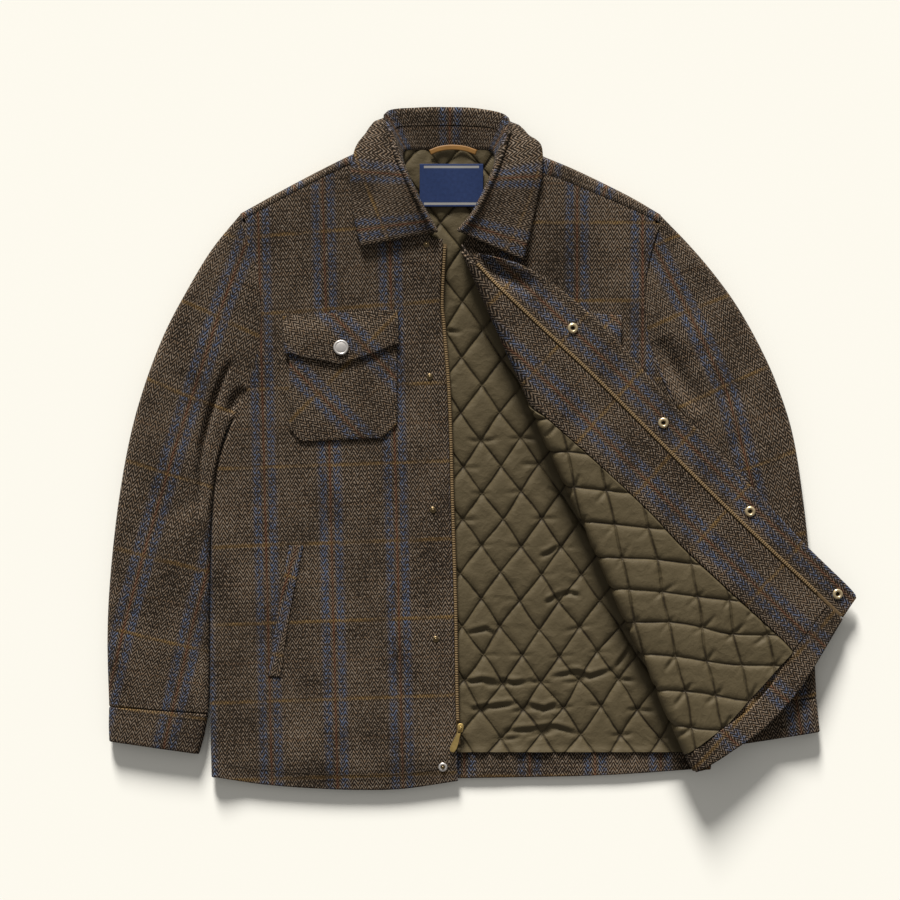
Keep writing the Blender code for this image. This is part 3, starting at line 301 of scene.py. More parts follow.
SOCKET_PROFILE = ((0, 0.4), (2.2, 0.4), (2.6, 0.9), (3.0, 1.9), (3.7, 2.3), (4.6, 2.2), (5.6, 1.6),
                  (6.2, 0.9), (6.3, 0.4), (6.0, 0), (0, 0))
# Thin disc of painted shade that fills a socket's hole
HOLE_SHADE_PROFILE = ((0, 0.6), (1.9, 0.6), (2.1, 0.5), (2.1, 0.42), (0, 0.42))
CAP_PROFILE = ((0, 2.6), (3.0, 2.55), (5.6, 2.2), (6.4, 1.9), (6.7, 2.2), (7.4, 2.45), (8.2, 2.2), (8.8, 1.4),
               (9.0, 0.6), (8.7, 0), (0, 0))

# Slider and pull: place, bail, pull plate
SLIDER_AT = (0.6, -326.4, 10.2)
SLIDER_HALF = (3.3, 5.0)
SLIDER_POINTS = 48
SLIDER_POWER = 0.6
SLIDER_TAPER = 0.16
SLIDER_LEAST = 0.01
SLIDER_PROFILE = ((0, 0), (0.9, 0), (1, 0.25), (1, 1.15), (0.92, 1.4), (0.7, 1.5), (0.7, 2.5),
                  (0.92, 2.6), (1, 2.85), (1, 3.7), (0.9, 4.0), (0, 4.0))
PULL_AT = (0.6, -326.4, 15.5)
PULL_TURN = math.radians(-20.0)
PULL_FROM = -1.0
PULL_LENGTH = 30.5
PULL_WIDTHS = ((0, 0.3, 0.42, 0.82, 1), (2.7, 2.5, 2.6, 4.4, 4.4))
PULL_EYE = (0.8, 6.4, 1.5)
PULL_POINTS = 96
PULL_POWER = 0.5
PULL_SECTION = ((0, 0.3), (0.04, 0.55), (0.12, 0.6), (0.3, 0.42), (0.72, 0.42), (0.86, 0.6),
                (0.96, 0.58), (1, 0.3))
BAIL_BAR = 0.6
BAIL_POINTS = 25
BAIL_ROUND = 10
BAIL_REACH = (0.2, 3.2)
BAIL_HEIGHTS = (-2.5, -1.0, 2.4)

# Sewing
STITCH_PITCH = 3.4
STITCH_LONG = 2.3
STITCH_WIDE = 0.7
STITCH_ALONG = (-0.5, -0.32, 0.32, 0.5)
STITCH_SWELL = (0.25, 1.0, 1.0, 0.25)
THREAD_CLEAR = 0.1
EDGE_STITCH = 5.0
HEM_STITCH = 18.0
WELT_STITCH = 2.0
SEAM_STITCH = 3.0
SEWN_SIDES = (1.6, 0.6)
CUFF_STITCH = 0.14
CUFF_TOP = 0.9
CUFF_CLEAR = 0.15

# Neck trimmings: label left, right, low, high; loop x, y, z
LABEL = (-47.0, 27.0, 281.0, 331.0)
LABEL_Z = 14.6
LABEL_THICK = 0.8
LABEL_CLEAR = 0.2
LOOP = ((-35, 344.2, 14.8), (-24, 348.4, 15.0), (-9.5, 350.2, 15.2), (6, 348.6, 15.0), (19, 344.2, 14.8))
LOOP_WIDE = 6.2
LOOP_THICK = 1.4
LOOP_LONG = 60
LOOP_ROWS = 60
LOOP_COLUMNS = (0, 0.08, 0.25, 0.5, 0.75, 0.92, 1.0)

# Weave: herringbone column, twill pitch, check lines
COLUMN = 4.27 * MM
PITCH = 5.15 * MM
WALES = 1.5
STRIPE_X = (-71.4 * MM, 76.4 * MM)
LINE_Y = (71.4 * MM, 91.0 * MM)
STRIPE_LEAN = (0.0245, 190.0)
LINE_LEAN = (0.035, 0.04, 60.0, 120.0, 150.0)
LEFT_SHIFT = (21.5, -9.5)
PLACKET_STRIPE = 24.0
FACING_STRIPE = -41.5
STRIPE_LEFT = 5.0
SLEEVE_LEAN = 0.96

STRIPE_SLEEVE_RIGHT = ((420, -187), (246, -247), (159, -280), (-5, -333.5), (-119, -367), (-206, -391),
                       (-250, -401), (-480, -456))
LINES_SLEEVE_RIGHT = ((336, -262, 0.42), (245, -262, 0.42), (154, -284, 0.40), (63, -323, 0.36),
                      (-30, -340, 0.30), (-131, -346, 0.24), (-222, -358, 0.24), (-306.5, -363, 0.14),
                      (-398, -363, 0.14))
STRIPE_SLEEVE_LEFT = ((420, 130), (234, 227), (165, 263), (117, 287), (64.5, 311), (-8, 331.5), (-48, 341.5),
                      (-150, 365), (-250, 385), (-480, 420))
LINES_SLEEVE_LEFT = ((345, 271, -0.37), (254, 271, -0.37), (162.5, 271, -0.37), (72.5, 308, -0.37),
                     (-12, 368.5, -0.32), (-104, 385, -0.29), (-197, 395, -0.26), (-289.5, 401.5, -0.23),
                     (-381, 401, -0.23))
TOP_LINE = 3

# Colours
PALE_BROWN = (0.156, 0.104, 0.063, 1)
PALE_GREY = (0.226, 0.180, 0.136, 1)
PALE_BLUE = (0.088, 0.126, 0.214, 1)
PALE_OCHRE = (0.235, 0.146, 0.052, 1)
PALE_FAINT = (0.160, 0.088, 0.042, 1)
PALE_RUST = (0.158, 0.064, 0.031, 1)
DEEP_BROWN = (0.0105, 0.0070, 0.0043, 1)
DEEP_RUST = (0.042, 0.014, 0.007, 1)
DEEP_OCHRE = (0.050, 0.028, 0.010, 1)
DEEP_BLUE = (0.017, 0.017, 0.020, 1)
FADED = (0.052, 0.037, 0.024, 1)
SATIN_SHADE = (0.072, 0.055, 0.028, 1)
SATIN_LIGHT = (0.090, 0.069, 0.036, 1)
# Painted shade mixed into the satin's sewn grooves and the knots where they cross
GROOVE_SHADE_COLOUR = (0.014, 0.009, 0.005, 1)
NAVY_SHADE = (0.006, 0.016, 0.060, 1)
NAVY = (0.015, 0.034, 0.110, 1)
LABEL_BAR = (0.26, 0.25, 0.23, 1)
LEATHER_SHADE = (0.17, 0.080, 0.016, 1)
LEATHER = (0.27, 0.130, 0.028, 1)
PAPER_SHADE = (0.928, 0.910, 0.838, 1)
PAPER = (0.934, 0.916, 0.844, 1)

# Wool: noise scale, weight and detail; steps of the check lines in metres; shares by noise and at least
DRIFT_SCALE = 70.0
DRIFT = (0.0018, 0.0024)
FLECK_SCALE = 600.0
FLECK_WEIGHT = 3.4
FLECK_BUMP = 0.8
HEATHER = (190.0, 1.6, 3.0)
MOTTLE = (17.0, 1.8, 3.0)
POINT_SHARP = 5.0
POINT_WEIGHT = 0.45
LIGHT_STEP = (0.10, 1.10)
RUST_STEP = (0.0004, 0.0022)
RUST_SHARE = (0.35, 0.40)
BLUE_NEAR = (0.0030, 0.0054)
BLUE_FAR = (0.0105, 0.0160)
BLUE_SHARE = (0.78, 0.12)
BLUE_DEEP = 0.6
OCHRE_STEP = (0.0008, 0.0032)
OCHRE_SHARE = (0.60, 0.25)
FAINT_STEP = (0.0006, 0.0024)
FAINT_SHARE = 0.35
PATCHY_SCALE = 260.0
PATCHY_STEP = (0.40, 0.58)
BROKEN_SCALE = 32.0
BROKEN_STEP = (0.34, 0.62)
GREY_SCALE = 340.0
GREY_STEP = (0.36, 0.64)
FADE_SCALE = 11.0
FADE_STEP = (0.25, 0.75)
FADE_SHARE = 0.15

# Satin: grooves and knots in shares of a diamond and the strength of the painted shade in them, crinkles,
# weave
SEAM_SHAKE = (150.0, 0.030)
GROOVE_SCALE = 34.0
GROOVE_STEP = (0.36, 0.60)
GROOVE_CORE = 0.004
GROOVE_WIDE = (0.026, 0.014)
GROOVE_SHADE_SHARE = (0.50, 0.36)
GROOVE_SIDES = (0.0, 0.06)
KNOT_STEP = (0.02, 0.13)
KNOT_SHADE_SHARE = 0.35
KNOT_DEEP = 0.5
SATIN_SCALE = 30.0
SATIN_PITCH = 0.0007
SATIN_WEAVE = 0.02
CRINKLE_SCALE = 46.0
CRINKLE = -1.9

# Other looks: weave, bars of the label in metres, noise scales
TAPE_RIB = (0.35, 0.5)
TAPE_GRAIN = (300.0, 1.0)
LABEL_PITCH = 0.0008
LABEL_WEAVE = 0.2
LABEL_SCALE = 260.0
BAR_NEAR = (0.0198, 0.0203)
BAR_FAR = (0.0225, 0.0230)
BAR_END = (0.0318, 0.0324)
METAL_SCALE = 260.0
SCRATCH_SCALE = 1900.0
LEATHER_SCALE = 150.0
PEBBLE_SCALE = 1400.0
THREAD_SCALE = 1600.0
PAPER_SCALE = 3.0

# Floor, light and camera, in metres
FLOOR_HALF = 3.0
FLOOR_Z = -0.0005
SKY = (1.0, 0.99, 0.97, 1)
SKY_STRENGTH = 0.28
SUN = (1.0, 0.985, 0.96)
SUN_ENERGY = 7.0
SUN_SOFT = math.radians(15)
SUN_TURN = (math.radians(-69.5), 0.0, math.radians(8))
LENS = 120.0
SENSOR = 36.0
CAMERA_AT = (-0.0117, -0.0023, 3.51)

# Rough sizes of the pieces: width, length
FRONT_SIZE = (290, 690)
SIDE_LONG = 420
HOLE_LONG = 250
PLACKET_SIZE = (46, 600)
FACING_SIZE = (75, 590)
HEM_SIZE = (260, 25)
BACK_SIZE = (570, 700)
BACK_HEM_SIZE = (556, 32)
YOKE_LONG = 220
SLEEVE_LONG = 590
CUFF_LONG = 45
ARMHOLE_SIZE = (16, 240)
ARMHOLE_WALL = 1.6
POCKET_SIZE = (126, 125)
POCKET_FLAP_SIZE = (134, 52)
FLAP_LEFT_SIZE = (54, 52)
WELT_SIZE = (15, 155)
TAPE_LONG = 580
LEAST_AREA = 0.301

# Steps of the meshes: cells, points along lines, rows and columns, sharp edges in degrees
COARSE_CELL = 14.0
CELL = 4.0
MID_CELL = 3.5
SLEEVE_CELL = 3.2
FINE_CELL = 3.0
NARROW_CELL = 2.5
RIM_ROWS = (0.3, 0.9, 1.8)
RIM_CLEAR = 3.0
RIM_LEAST = 0.04
SPLINE_POINTS = 40
LINE_POINTS = 300
ZIP_POINTS = 200
TOP_POINTS = 40
SEWN_POINTS = 160
TAPE_ROWS = 180
CHAIN_ROWS = 400
HOLE_ROWS = 7
SIDE_ROWS = 8
ROLL_COLUMNS = 9
ARMHOLE_ROWS = 60
LEFT_LINING_GRID = (270, 110)
BACK_LINING_GRID = (330, 18, 132)
SLEEVE_ENDS = 10
SLEEVE_LEVEL = 76
YOKE_ROLL = 13
YOKE_FRONT = (0, 0.15, 0.4, 0.7)
YOKE_BEHIND = 7
COLLAR_RIM = (0, 0.012, 0.03)
COLLAR_INSIDE = (0.06, 0.94)
COLLAR_BEFORE = 8
STAND_COLUMNS = 8
FALL_COLUMNS = 40
SHARP = 65
TOOTH_SHARP = 40
TURNED_SHARP = 48
SLIDER_SHARP = 40
PULL_SHARP = 50
NO_LENGTH = 1e-9
UP = np.array((0.0, 0.0, 1.0))


def ease(share):
    """Smooth step: 3 s squared less 2 s cubed, held to 0 and 1."""
    share = np.clip(share, 0.0, 1.0)
    return share * share * (3.0 - 2.0 * share)


def parabola(share):
    """A parabola that is 0 at both ends and 1 halfway."""
    return 4 * share * (1 - share)


def to_end(share):
    """How far a share of a length is from the nearer end."""
    return np.minimum(share, 1 - share)


def sines(x, y, table):
    """A sum of crossed sines: x length, y length, phase and weight of each."""
    return sum(weight * np.sin(x / wide + y / long + phase) for wide, long, phase, weight in table)


def from_neck(x, y):
    """Distance of plan points from the middle of the neck."""
    return np.hypot(x - NECK[0], y - NECK[1])


def neck_lift(x, y):
    """Height that the collar's turned-under fall adds beneath the neck: a smooth step of the distance."""
    return NECK_LIFT * ease((NECK_NONE - from_neck(x, y)) / (NECK_NONE - NECK_FULL))


def upper_lift(x, y):
    """The same lift for the layers above the back, which starts farther out."""
    return OVER_NECK * NECK_LIFT * ease((UPPER_NONE - from_neck(x, y)) / (UPPER_NONE - UPPER_FULL))


def hem_drop(x, y):
    """How far a front comes down past the end of the lining: a smooth step of the height above its hem."""
    line = np.array(HEM_RIGHT[:-1] + HEM_LEFT[::-1], float)
    above = y - np.interp(x, line[:, 0], line[:, 1])
    inside = np.minimum(x - SIDE_RIGHT[1][0], SIDE_LEFT[1][0] - x)
    return HEM_DROP * (1.0 - ease(above / HEM_REACH)) * ease((inside - ROLL_REACH) / SIDE_FADE)


def wave(x, y):
    """Slow rise and fall of laid cloth: four long sines that cross, never below zero."""
    return WAVE_HIGH * (sines(x, y, WAVES) + sum(row[-1] for row in WAVES))


def front_z(x, y):
    """Middle height of a front: its flat height, lifted at the neck, let down at the hem, with the wave."""
    return FRONT_Z + upper_lift(x, y) - hem_drop(x, y) + wave(x, y)


def run_along(line):
    """Distance run along a line of points, from its start."""
    return np.concatenate(((0.0,), np.cumsum(np.linalg.norm(np.diff(line, axis=0), axis=1))))


def run_across(grid):
    """Distance run along each row of a grid of points, from its first column."""
    run = np.cumsum(np.linalg.norm(np.diff(grid, axis=1), axis=2), axis=1)
    return np.concatenate((np.zeros((len(grid), 1)), run), axis=1)


def at_run(rows, run, at):
    """Rows found between others, at places along their run."""
    return np.stack([np.interp(at, run, column) for column in rows.T], axis=1)


def unit(way):
    """Directions brought to length one."""
    return way / np.linalg.norm(way, axis=-1, keepdims=True)


def signed_power(value, power):
    """A power that keeps the sign."""
    return np.sign(value) * np.abs(value) ** power


def spline(rows, place, smooth=True):
    """Catmull-Rom points, or straight ones, at places counted in rows."""
    rows = np.asarray(rows, float)
    ends = np.vstack((2 * rows[0] - rows[1], rows, 2 * rows[-1] - rows[-2]))
    first = np.minimum(place.astype(int), len(rows) - 2)
    part = (place - first)[:, None]
    a, b, c, d = (ends[first + step] for step in range(4))
    if not smooth:
        return b + part * (c - b)
    bent = b + part * (c - a) / 2 + part ** 2 * (a - 2.5 * b + 2 * c - d / 2)
    return bent + part ** 3 * (1.5 * b - a / 2 - 1.5 * c + d / 2)


def spread(rows, at, smooth=True):
    """Points at shares of the plan length of a line through the rows; a whole number asks for that many."""
    at = np.linspace(0, 1, at) if np.isscalar(at) else np.asarray(at)
    last = len(rows) - 1
    fine = spline(rows, np.linspace(0, last, SPLINE_POINTS * last + 1), smooth)
    run = run_along(fine[:, :2])
    return at_run(fine, run, at * run[-1])


def steps(length, cell):
    """Shares of a length about a cell apart, with close rows at both ends for the rounded edges."""
    close = np.array(RIM_ROWS) / length
    even = np.linspace(0, 1, max(3, int(round(length / cell)) + 1))
    inside = even[(even > RIM_CLEAR / length) & (even < 1 - RIM_CLEAR / length)]
    return np.concatenate(((0.0,), close, inside, 1 - close[::-1], (1.0,)))


def armhole(ends, share):
    """The armhole seam: a chord with a parabola's bow into the body."""
    low, high, bow = np.array(ends[0], float), np.array(ends[1], float), ends[2]
    share = (np.asarray(share) * ARMHOLE_END)[:, None]
    return low + (high - low) * share + np.array((bow, 0.0)) * parabola(share)


def beside(line, reach):
    """A plan line moved to its right by the reach."""
    way = unit(np.gradient(line, axis=0))
    return line + np.column_stack((way[:, 1], -way[:, 0])) * reach


def ruled(first, last, share):
    """A grid of straight lines from each point of one line to the same point of another."""
    return first[:, None] * (1 - share)[None, :, None] + last[:, None] * share[None, :, None]


def coons(foot, top, left, right, u, v):
    """A Coons patch: both pairs of edges blended, less the blend of their corners."""
    u, v = u[None, :, None], v[:, None, None]
    across = (1 - v) * foot[None] + v * top[None]
    along = (1 - u) * left[:, None] + u * right[:, None]
    corners = (1 - v) * ((1 - u) * foot[0] + u * foot[-1]) + v * ((1 - u) * top[0] + u * top[-1])
    return across + along - corners


def with_height(plan, height):
    """A plan grid and its height, as points."""
    return np.concatenate((plan, np.broadcast_to(height, plan.shape[:2])[..., None]), axis=2)


def round_off(near, wall, least):
    """Half thickness of a wall by the distance from its rim: a quarter circle, never under the least."""
    part = np.clip(near / (wall / 2), 0, 1)
    return wall / 2 * np.sqrt(np.maximum(1 - (1 - part) ** 2, least))


def rounded(u, v, wide, long, wall):
    """Half thickness of a wall: full inside, a quarter circle down to its four rims."""
    return round_off(np.minimum(to_end(u)[None, :] * wide, to_end(v)[:, None] * long), wall, RIM_LEAST)


def normals(middle):
    """Unit normals of a grid of points, from the cross product of its two slopes."""
    normal = np.cross(np.gradient(middle, axis=1), np.gradient(middle, axis=0))
    return normal / np.maximum(np.linalg.norm(normal, axis=2, keepdims=True), NO_LENGTH)


def pressed(points, creases, high):
    """Depth of the creases at plan points: a bell of the distance to each line, fading to both its ends."""
    depth = np.zeros(points.shape[:-1])
    for line, wide, deep in creases:
        away = np.full(depth.shape, np.inf)
        along = np.zeros(depth.shape)
        for number, (start, end) in enumerate(zip(line[:-1], line[1:])):
            step = np.subtract(end, start, dtype=float)
            rel = points[..., :2] - np.array(start, float)
            share = np.clip(rel @ step / (step @ step), 0, 1)
            off = ((rel - share[..., None] * step) ** 2).sum(axis=-1)
            along = np.where(off < away, number + share, along)
            away = np.minimum(away, off)
        fade = np.sin(math.pi * along / (len(line) - 1)) ** CREASE_FADE
        depth = depth + deep * fade * np.exp(-away / wide ** 2)
    return depth * high


def turned_back(points):
    """Place of pattern points after the fold: the lower leaf, a half circle, then back over."""
    x, y, out = points[..., 0], points[..., 1], points[..., 2]
    from_fold = points[..., :2] - FOLD_FROM
    along, past = from_fold @ FOLD_LONG, -(from_fold @ FOLD_ACROSS)
    bed = FRONT_Z + (upper_lift(x, y) - hem_drop(x, y)) * ease(-past / SIDE_FADE)
    bed = bed + FOLD_RISE * ease(1 + past / FOLD_RISE_REACH)
    angle = np.clip(past / FOLD_R, 0, math.pi)
    beyond = np.maximum(past - math.pi * FOLD_R, 0)
    across = beyond - np.minimum(past, 0) - (FOLD_R - out) * np.sin(angle)
    plan = FOLD_FROM + along[..., None] * FOLD_LONG + across[..., None] * FOLD_ACROSS
    height = bed + FOLD_R - (FOLD_R - out) * np.cos(angle) - FLAP_SETTLE * ease(beyond / FLAP_SETTLE_REACH)
    droop = FLAP_DROOP * ease((plan[..., 0] - DROOP_FROM) / DROOP_REACH) * (beyond > 0)
    rolled = -pressed(plan, FLAP_ROLLS, ease(beyond / FLAP_ROLL_REACH))
    return with_height(plan, height - droop + rolled + wave(plan[..., 0], plan[..., 1]))


def folded(plan, depth):
    """Points of a plan grid at a depth of the left front's pattern, after the fold."""
    return turned_back(with_height(plan, depth))


def on_front(plan, rise):
    """Points of a plan grid on the right front's outer face, moved out by the rise."""
    return with_height(plan, front_z(plan[..., 0], plan[..., 1]) + WOOL / 2 + rise)


def both_faces(plan, middle, half, place=with_height):
    """Outer and inner face of a wall: its plan, a half thickness to either side of the middle height."""
    return place(plan, middle + half), place(plan, middle - half)


def past_fold(x, y):
    """Distance of a pattern point past the fold line, toward the opening."""
    return -((x - FOLD_FROM[0]) * FOLD_ACROSS[0] + (y - FOLD_FROM[1]) * FOLD_ACROSS[1])


def zip_x(height):
    """Place of the left zip across the pattern, at given heights."""
    line = spread(ZIP_LEFT, ZIP_POINTS)
    return np.interp(height, line[:, 1], line[:, 0])


def numbered(rows, columns):
    """A grid of counting numbers."""
    return np.arange(rows * columns).reshape(rows, columns)


def quads(index, ring):
    """Corner numbers of a grid's cells; a ring's last column meets its first."""
    nxt = np.roll(index, -1, axis=1) if ring else index[:, 1:]
    here = index if ring else index[:, :-1]
    return np.stack((here[:-1], nxt[:-1], nxt[1:], here[1:]), axis=2).reshape(-1, 4)


def closed_rings(points):
    """Faces of a grid of points that closes both ways, as a ring of rings does."""
    index = numbered(*points.shape[:2])
    return quads(np.vstack((index, index[:1])), True)


def repeated(faces, grids):
    """The faces of one small body, for each body of a stack of grids."""
    count, rings, corners = grids.shape[:3]
    return (faces[None] + (np.arange(count) * rings * corners)[:, None, None]).reshape(-1, 4)


def put_mesh(name, points, faces, look, sharp=SHARP, marks=None):
    """A mesh object from arrays of points in millimetres, quads and their corners' cloth coordinates."""
    points = points.reshape(-1, 3)
    marks = np.zeros((*faces.shape, 2)) if marks is None else marks
    a, b, c, d = (points[faces[:, corner]] for corner in range(4))
    if (np.cross(b - a, c - a) * a).sum() + (np.cross(c - a, d - a) * a).sum() < 0:
        faces, marks = faces[:, ::-1], marks[:, ::-1]
    mesh = bpy.data.meshes.new(name)
    mesh.vertices.add(len(points))
    mesh.vertices.foreach_set("co", (points * MM).astype(np.float32).ravel())
    mesh.loops.add(faces.size)
    mesh.loops.foreach_set("vertex_index", faces.astype(np.int32).ravel())
    mesh.polygons.add(len(faces))
    mesh.polygons.foreach_set("loop_start", np.arange(0, faces.size, 4, dtype=np.int32))
    mesh.update(calc_edges=True)
    layer = mesh.uv_layers.new(name="cloth")
    layer.data.foreach_set("uv", (marks * MM).astype(np.float32).ravel())
    mesh.shade_smooth()
    mesh.set_sharp_from_angle(angle=math.radians(sharp))
    mesh.materials.append(look)
    thing = bpy.data.objects.new(name, mesh)
    bpy.context.scene.collection.objects.link(thing)
    return thing


def shell(name, outer, inner, cut, look, ring=False):
    """A closed wall from its outer and inner grids, joined round the rims; cut is its flat cloth grid."""
    index = numbered(*outer.shape[:2])
    cells = quads(index, ring)
    corner = numbered(*cut.shape[:2])
    flat_cells = quads(corner, False)
    faces, marks = [cells, cells[:, ::-1] + index.size], [flat_cells, flat_cells[:, ::-1]]
    lines = [(index[0], corner[0]), (index[-1][::-1], corner[-1][::-1])]
    if not ring:
        lines += [(index[::-1, 0], corner[::-1, 0]), (index[:, -1], corner[:, -1])]
    for line, mark in lines:
        one = line if not ring else np.concatenate((line, line[:1]))
        faces.append(np.stack((one[1:], one[:-1], one[:-1] + index.size, one[1:] + index.size), axis=1))
        marks.append(np.stack((mark[1:], mark[:-1], mark[:-1], mark[1:]), axis=1))
    points = np.concatenate((outer.reshape(-1, 3), inner.reshape(-1, 3)))
    marks = cut.reshape(-1, 2)[np.concatenate(marks)]
    return put_mesh(name, points, np.concatenate(faces), look, marks=marks)


def flat_area(cut):
    """Area of a flat cloth grid in square metres: half the cross product of each cell's diagonals."""
    one, two = cut[1:, 1:] - cut[:-1, :-1], cut[1:, :-1] - cut[:-1, 1:]
    return float(np.abs(one[..., 0] * two[..., 1] - one[..., 1] * two[..., 0]).sum() / 2) * MM * MM


def cloth(name, outer, inner, cut, look, nodes, ring=False, flat=None):
    """A sewn piece: its shell, which hides the solid that it stands for; the size of its flat cut is worked
    out but not used.
    """
    piece = shell(name, outer, inner, cut, look, ring)
    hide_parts(*nodes)
    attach(piece, "jacket")
    flat = cut if flat is None else flat
    reach = (flat.reshape(-1, 2).max(axis=0) - flat.reshape(-1, 2).min(axis=0)) * MM
    box = reach[0] * reach[1]
    area = min(max(flat_area(flat), LEAST_AREA * box), box)


def turn(cut, angle):
    """A flat grid turned about the origin."""
    cos, sin = math.cos(angle), math.sin(angle)
    return cut @ np.array(((cos, sin), (-sin, cos)))


class Signal:
    """A number or colour that runs through a material's nodes; arithmetic on it adds the nodes."""
    def __init__(self, tree, socket):
        self.tree = tree
        self.socket = socket

    def calc(self, operation, *values):
        """This number and others through a math node."""
        node = self.tree.nodes.new("ShaderNodeMath")
        node.operation = operation
        for socket, value in zip(node.inputs, (self, *values)):
            feed(self.tree, socket, value)
        return Signal(self.tree, node.outputs[0])

    def __add__(self, other):
        return self.calc("ADD", other)

    def __sub__(self, other):
        return self.calc("SUBTRACT", other)

    def __mul__(self, other):
        return self.calc("MULTIPLY", other)

    def __truediv__(self, other):
        return self.calc("DIVIDE", other)

    def step_up(self, low, high):
        """0 below low, 1 above high, smooth between."""
        node = self.tree.nodes.new("ShaderNodeMapRange")
        node.interpolation_type = "SMOOTHSTEP"
        for name, given in (("Value", self), ("From Min", low), ("From Max", high)):
            feed(self.tree, node.inputs[name], given)
        return Signal(self.tree, node.outputs["Result"])

    def step_down(self, low, high):
        """1 below low, 0 above high, smooth between."""
        return self.step_up(low, high).calc("MULTIPLY_ADD", -1.0, 1.0)

    def sine(self, pitch):
        """A sine that repeats at each pitch."""
        return (self * (2 * math.pi / pitch)).calc("SINE")


def feed(tree, socket, value):
    """Link a signal to a socket, or set the socket to a plain value."""
    if isinstance(value, Signal):
        tree.links.new(value.socket, socket)
    else:
        socket.default_value = value


def blank(name, roughness, metallic=0.0, specular=0.3, sheen=0.0):
    """A new material with its plain sockets set."""
    material = bpy.data.materials.new(name)
    material.use_nodes = True
    shader = material.node_tree.nodes["Principled BSDF"]
    shader.inputs["Roughness"].default_value = roughness
    shader.inputs["Metallic"].default_value = metallic
    shader.inputs["Specular IOR Level"].default_value = specular
    shader.inputs["Sheen Weight"].default_value = sheen
    return material, material.node_tree, shader


def blend(share, one, two):
    """A mix of two colours: the first at share 0, the second at share 1."""
    node = share.tree.nodes.new("ShaderNodeMix")
    node.data_type = "RGBA"
    for number, value in ((0, share), (6, one), (7, two)):
        feed(share.tree, node.inputs[number], value)
    return Signal(share.tree, node.outputs[2])


def grain(place, scale, detail=2.0):
    """Noise from 0 to 1, its scale counted to the metre."""
    node = place.tree.nodes.new("ShaderNodeTexNoise")
    node.inputs["Scale"].default_value = scale
    node.inputs["Detail"].default_value = detail
    feed(place.tree, node.inputs["Vector"], place)
    return Signal(place.tree, node.outputs["Fac"])


def uneven(place, scale, weight, detail=2.0):
    """Noise about zero, times a weight."""
    return (grain(place, scale, detail) - 0.5) * weight


def coat(shader, colour, height, strength, distance):
    """Give a shader its colour and its bumps."""
    node = height.tree.nodes.new("ShaderNodeBump")
    node.inputs["Strength"].default_value = strength
    node.inputs["Distance"].default_value = distance
    feed(height.tree, node.inputs["Height"], height)
    height.tree.links.new(node.outputs["Normal"], shader.inputs["Normal"])
    feed(height.tree, shader.inputs["Base Color"], colour)


def cloth_place(tree):
    """The piece's flat cloth coordinates, in metres, and their two parts."""
    node = tree.nodes.new("ShaderNodeUVMap")
    node.uv_map = "cloth"
    parts = tree.nodes.new("ShaderNodeSeparateXYZ")
    tree.links.new(node.outputs["UV"], parts.inputs[0])
    return tuple(Signal(tree, socket) for socket in (node.outputs["UV"], parts.outputs[0], parts.outputs[1]))


def object_place(tree):
    """The piece's own coordinates, in metres."""
    return Signal(tree, tree.nodes.new("ShaderNodeTexCoord").outputs["Object"])


def herringbone(place, x, y):
    """Light and dark wales: a sine of the height plus a zigzag across, roughened by noise; and the noise."""
    zigzag = x.calc("PINGPONG", COLUMN) / COLUMN
    wale = (zigzag * WALES + y / PITCH).sine(1.0)
    point = (zigzag * 2.0 - 1.0).calc("ABSOLUTE").calc("POWER", POINT_SHARP)
    fleck = grain(place, FLECK_SCALE)
    raised = wale + (fleck - 0.5) * FLECK_WEIGHT + uneven(place, *HEATHER) + point * POINT_WEIGHT
    raised = raised + uneven(place, *MOTTLE)
    return raised.step_up(*LIGHT_STEP), fleck


def check_lines(place, x, y):
    """Shares of the rust, blue, ochre and faint lines: smooth steps of the distance, broken by noise."""
    from_stripe = (x - STRIPE_X[0]).calc("PINGPONG", STRIPE_X[1] / 2)
    from_line = (y - LINE_Y[0]).calc("PINGPONG", LINE_Y[1] / 2)
    between_lines = from_line.calc("MULTIPLY_ADD", -1.0, LINE_Y[1] / 2)
    patchy = grain(place, PATCHY_SCALE).step_up(*PATCHY_STEP)
    broken = grain(place, BROKEN_SCALE, 3.0).step_up(*BROKEN_STEP)
    blue = from_stripe.step_up(*BLUE_NEAR) * from_stripe.step_down(*BLUE_FAR)
    rust = from_stripe.step_down(*RUST_STEP) * (broken * RUST_SHARE[0] + RUST_SHARE[1])
    ochre = from_line.step_down(*OCHRE_STEP) * (broken * OCHRE_SHARE[0] + OCHRE_SHARE[1])
    faint = between_lines.step_down(*FAINT_STEP) * FAINT_SHARE
    return rust, blue * (patchy * BLUE_SHARE[0] + BLUE_SHARE[1]), ochre, faint


def wool_look():
    """Herringbone wool: pale and deep yarns, both tinted by the rust, blue and ochre check lines."""
    material, tree, shader = blank("checked_wool", roughness=0.95, specular=0.08, sheen=0.03)
    place, x, y = cloth_place(tree)
    drift = grain(place, DRIFT_SCALE) - 0.5
    x, y = x + drift * DRIFT[0], y + drift * DRIFT[1]
    light, fleck = herringbone(place, x, y)
    rust, blue, ochre, faint = check_lines(place, x, y)
    pale = blend(grain(place, GREY_SCALE).step_up(*GREY_STEP), PALE_BROWN, PALE_GREY)
    for share, tint in ((blue, PALE_BLUE), (ochre, PALE_OCHRE), (faint, PALE_FAINT), (rust, PALE_RUST)):
        pale = blend(share, pale, tint)
    deep = DEEP_BROWN
    for share, tint in ((rust, DEEP_RUST), (ochre, DEEP_OCHRE), (blue * BLUE_DEEP, DEEP_BLUE)):
        deep = blend(share, deep, tint)
    fade = grain(place, FADE_SCALE).step_up(*FADE_STEP) * FADE_SHARE
    colour = blend(fade, blend(light, deep, pale), FADED)
    coat(shader, colour, light + fleck * FLECK_BUMP, strength=0.35, distance=0.0004)
    return material


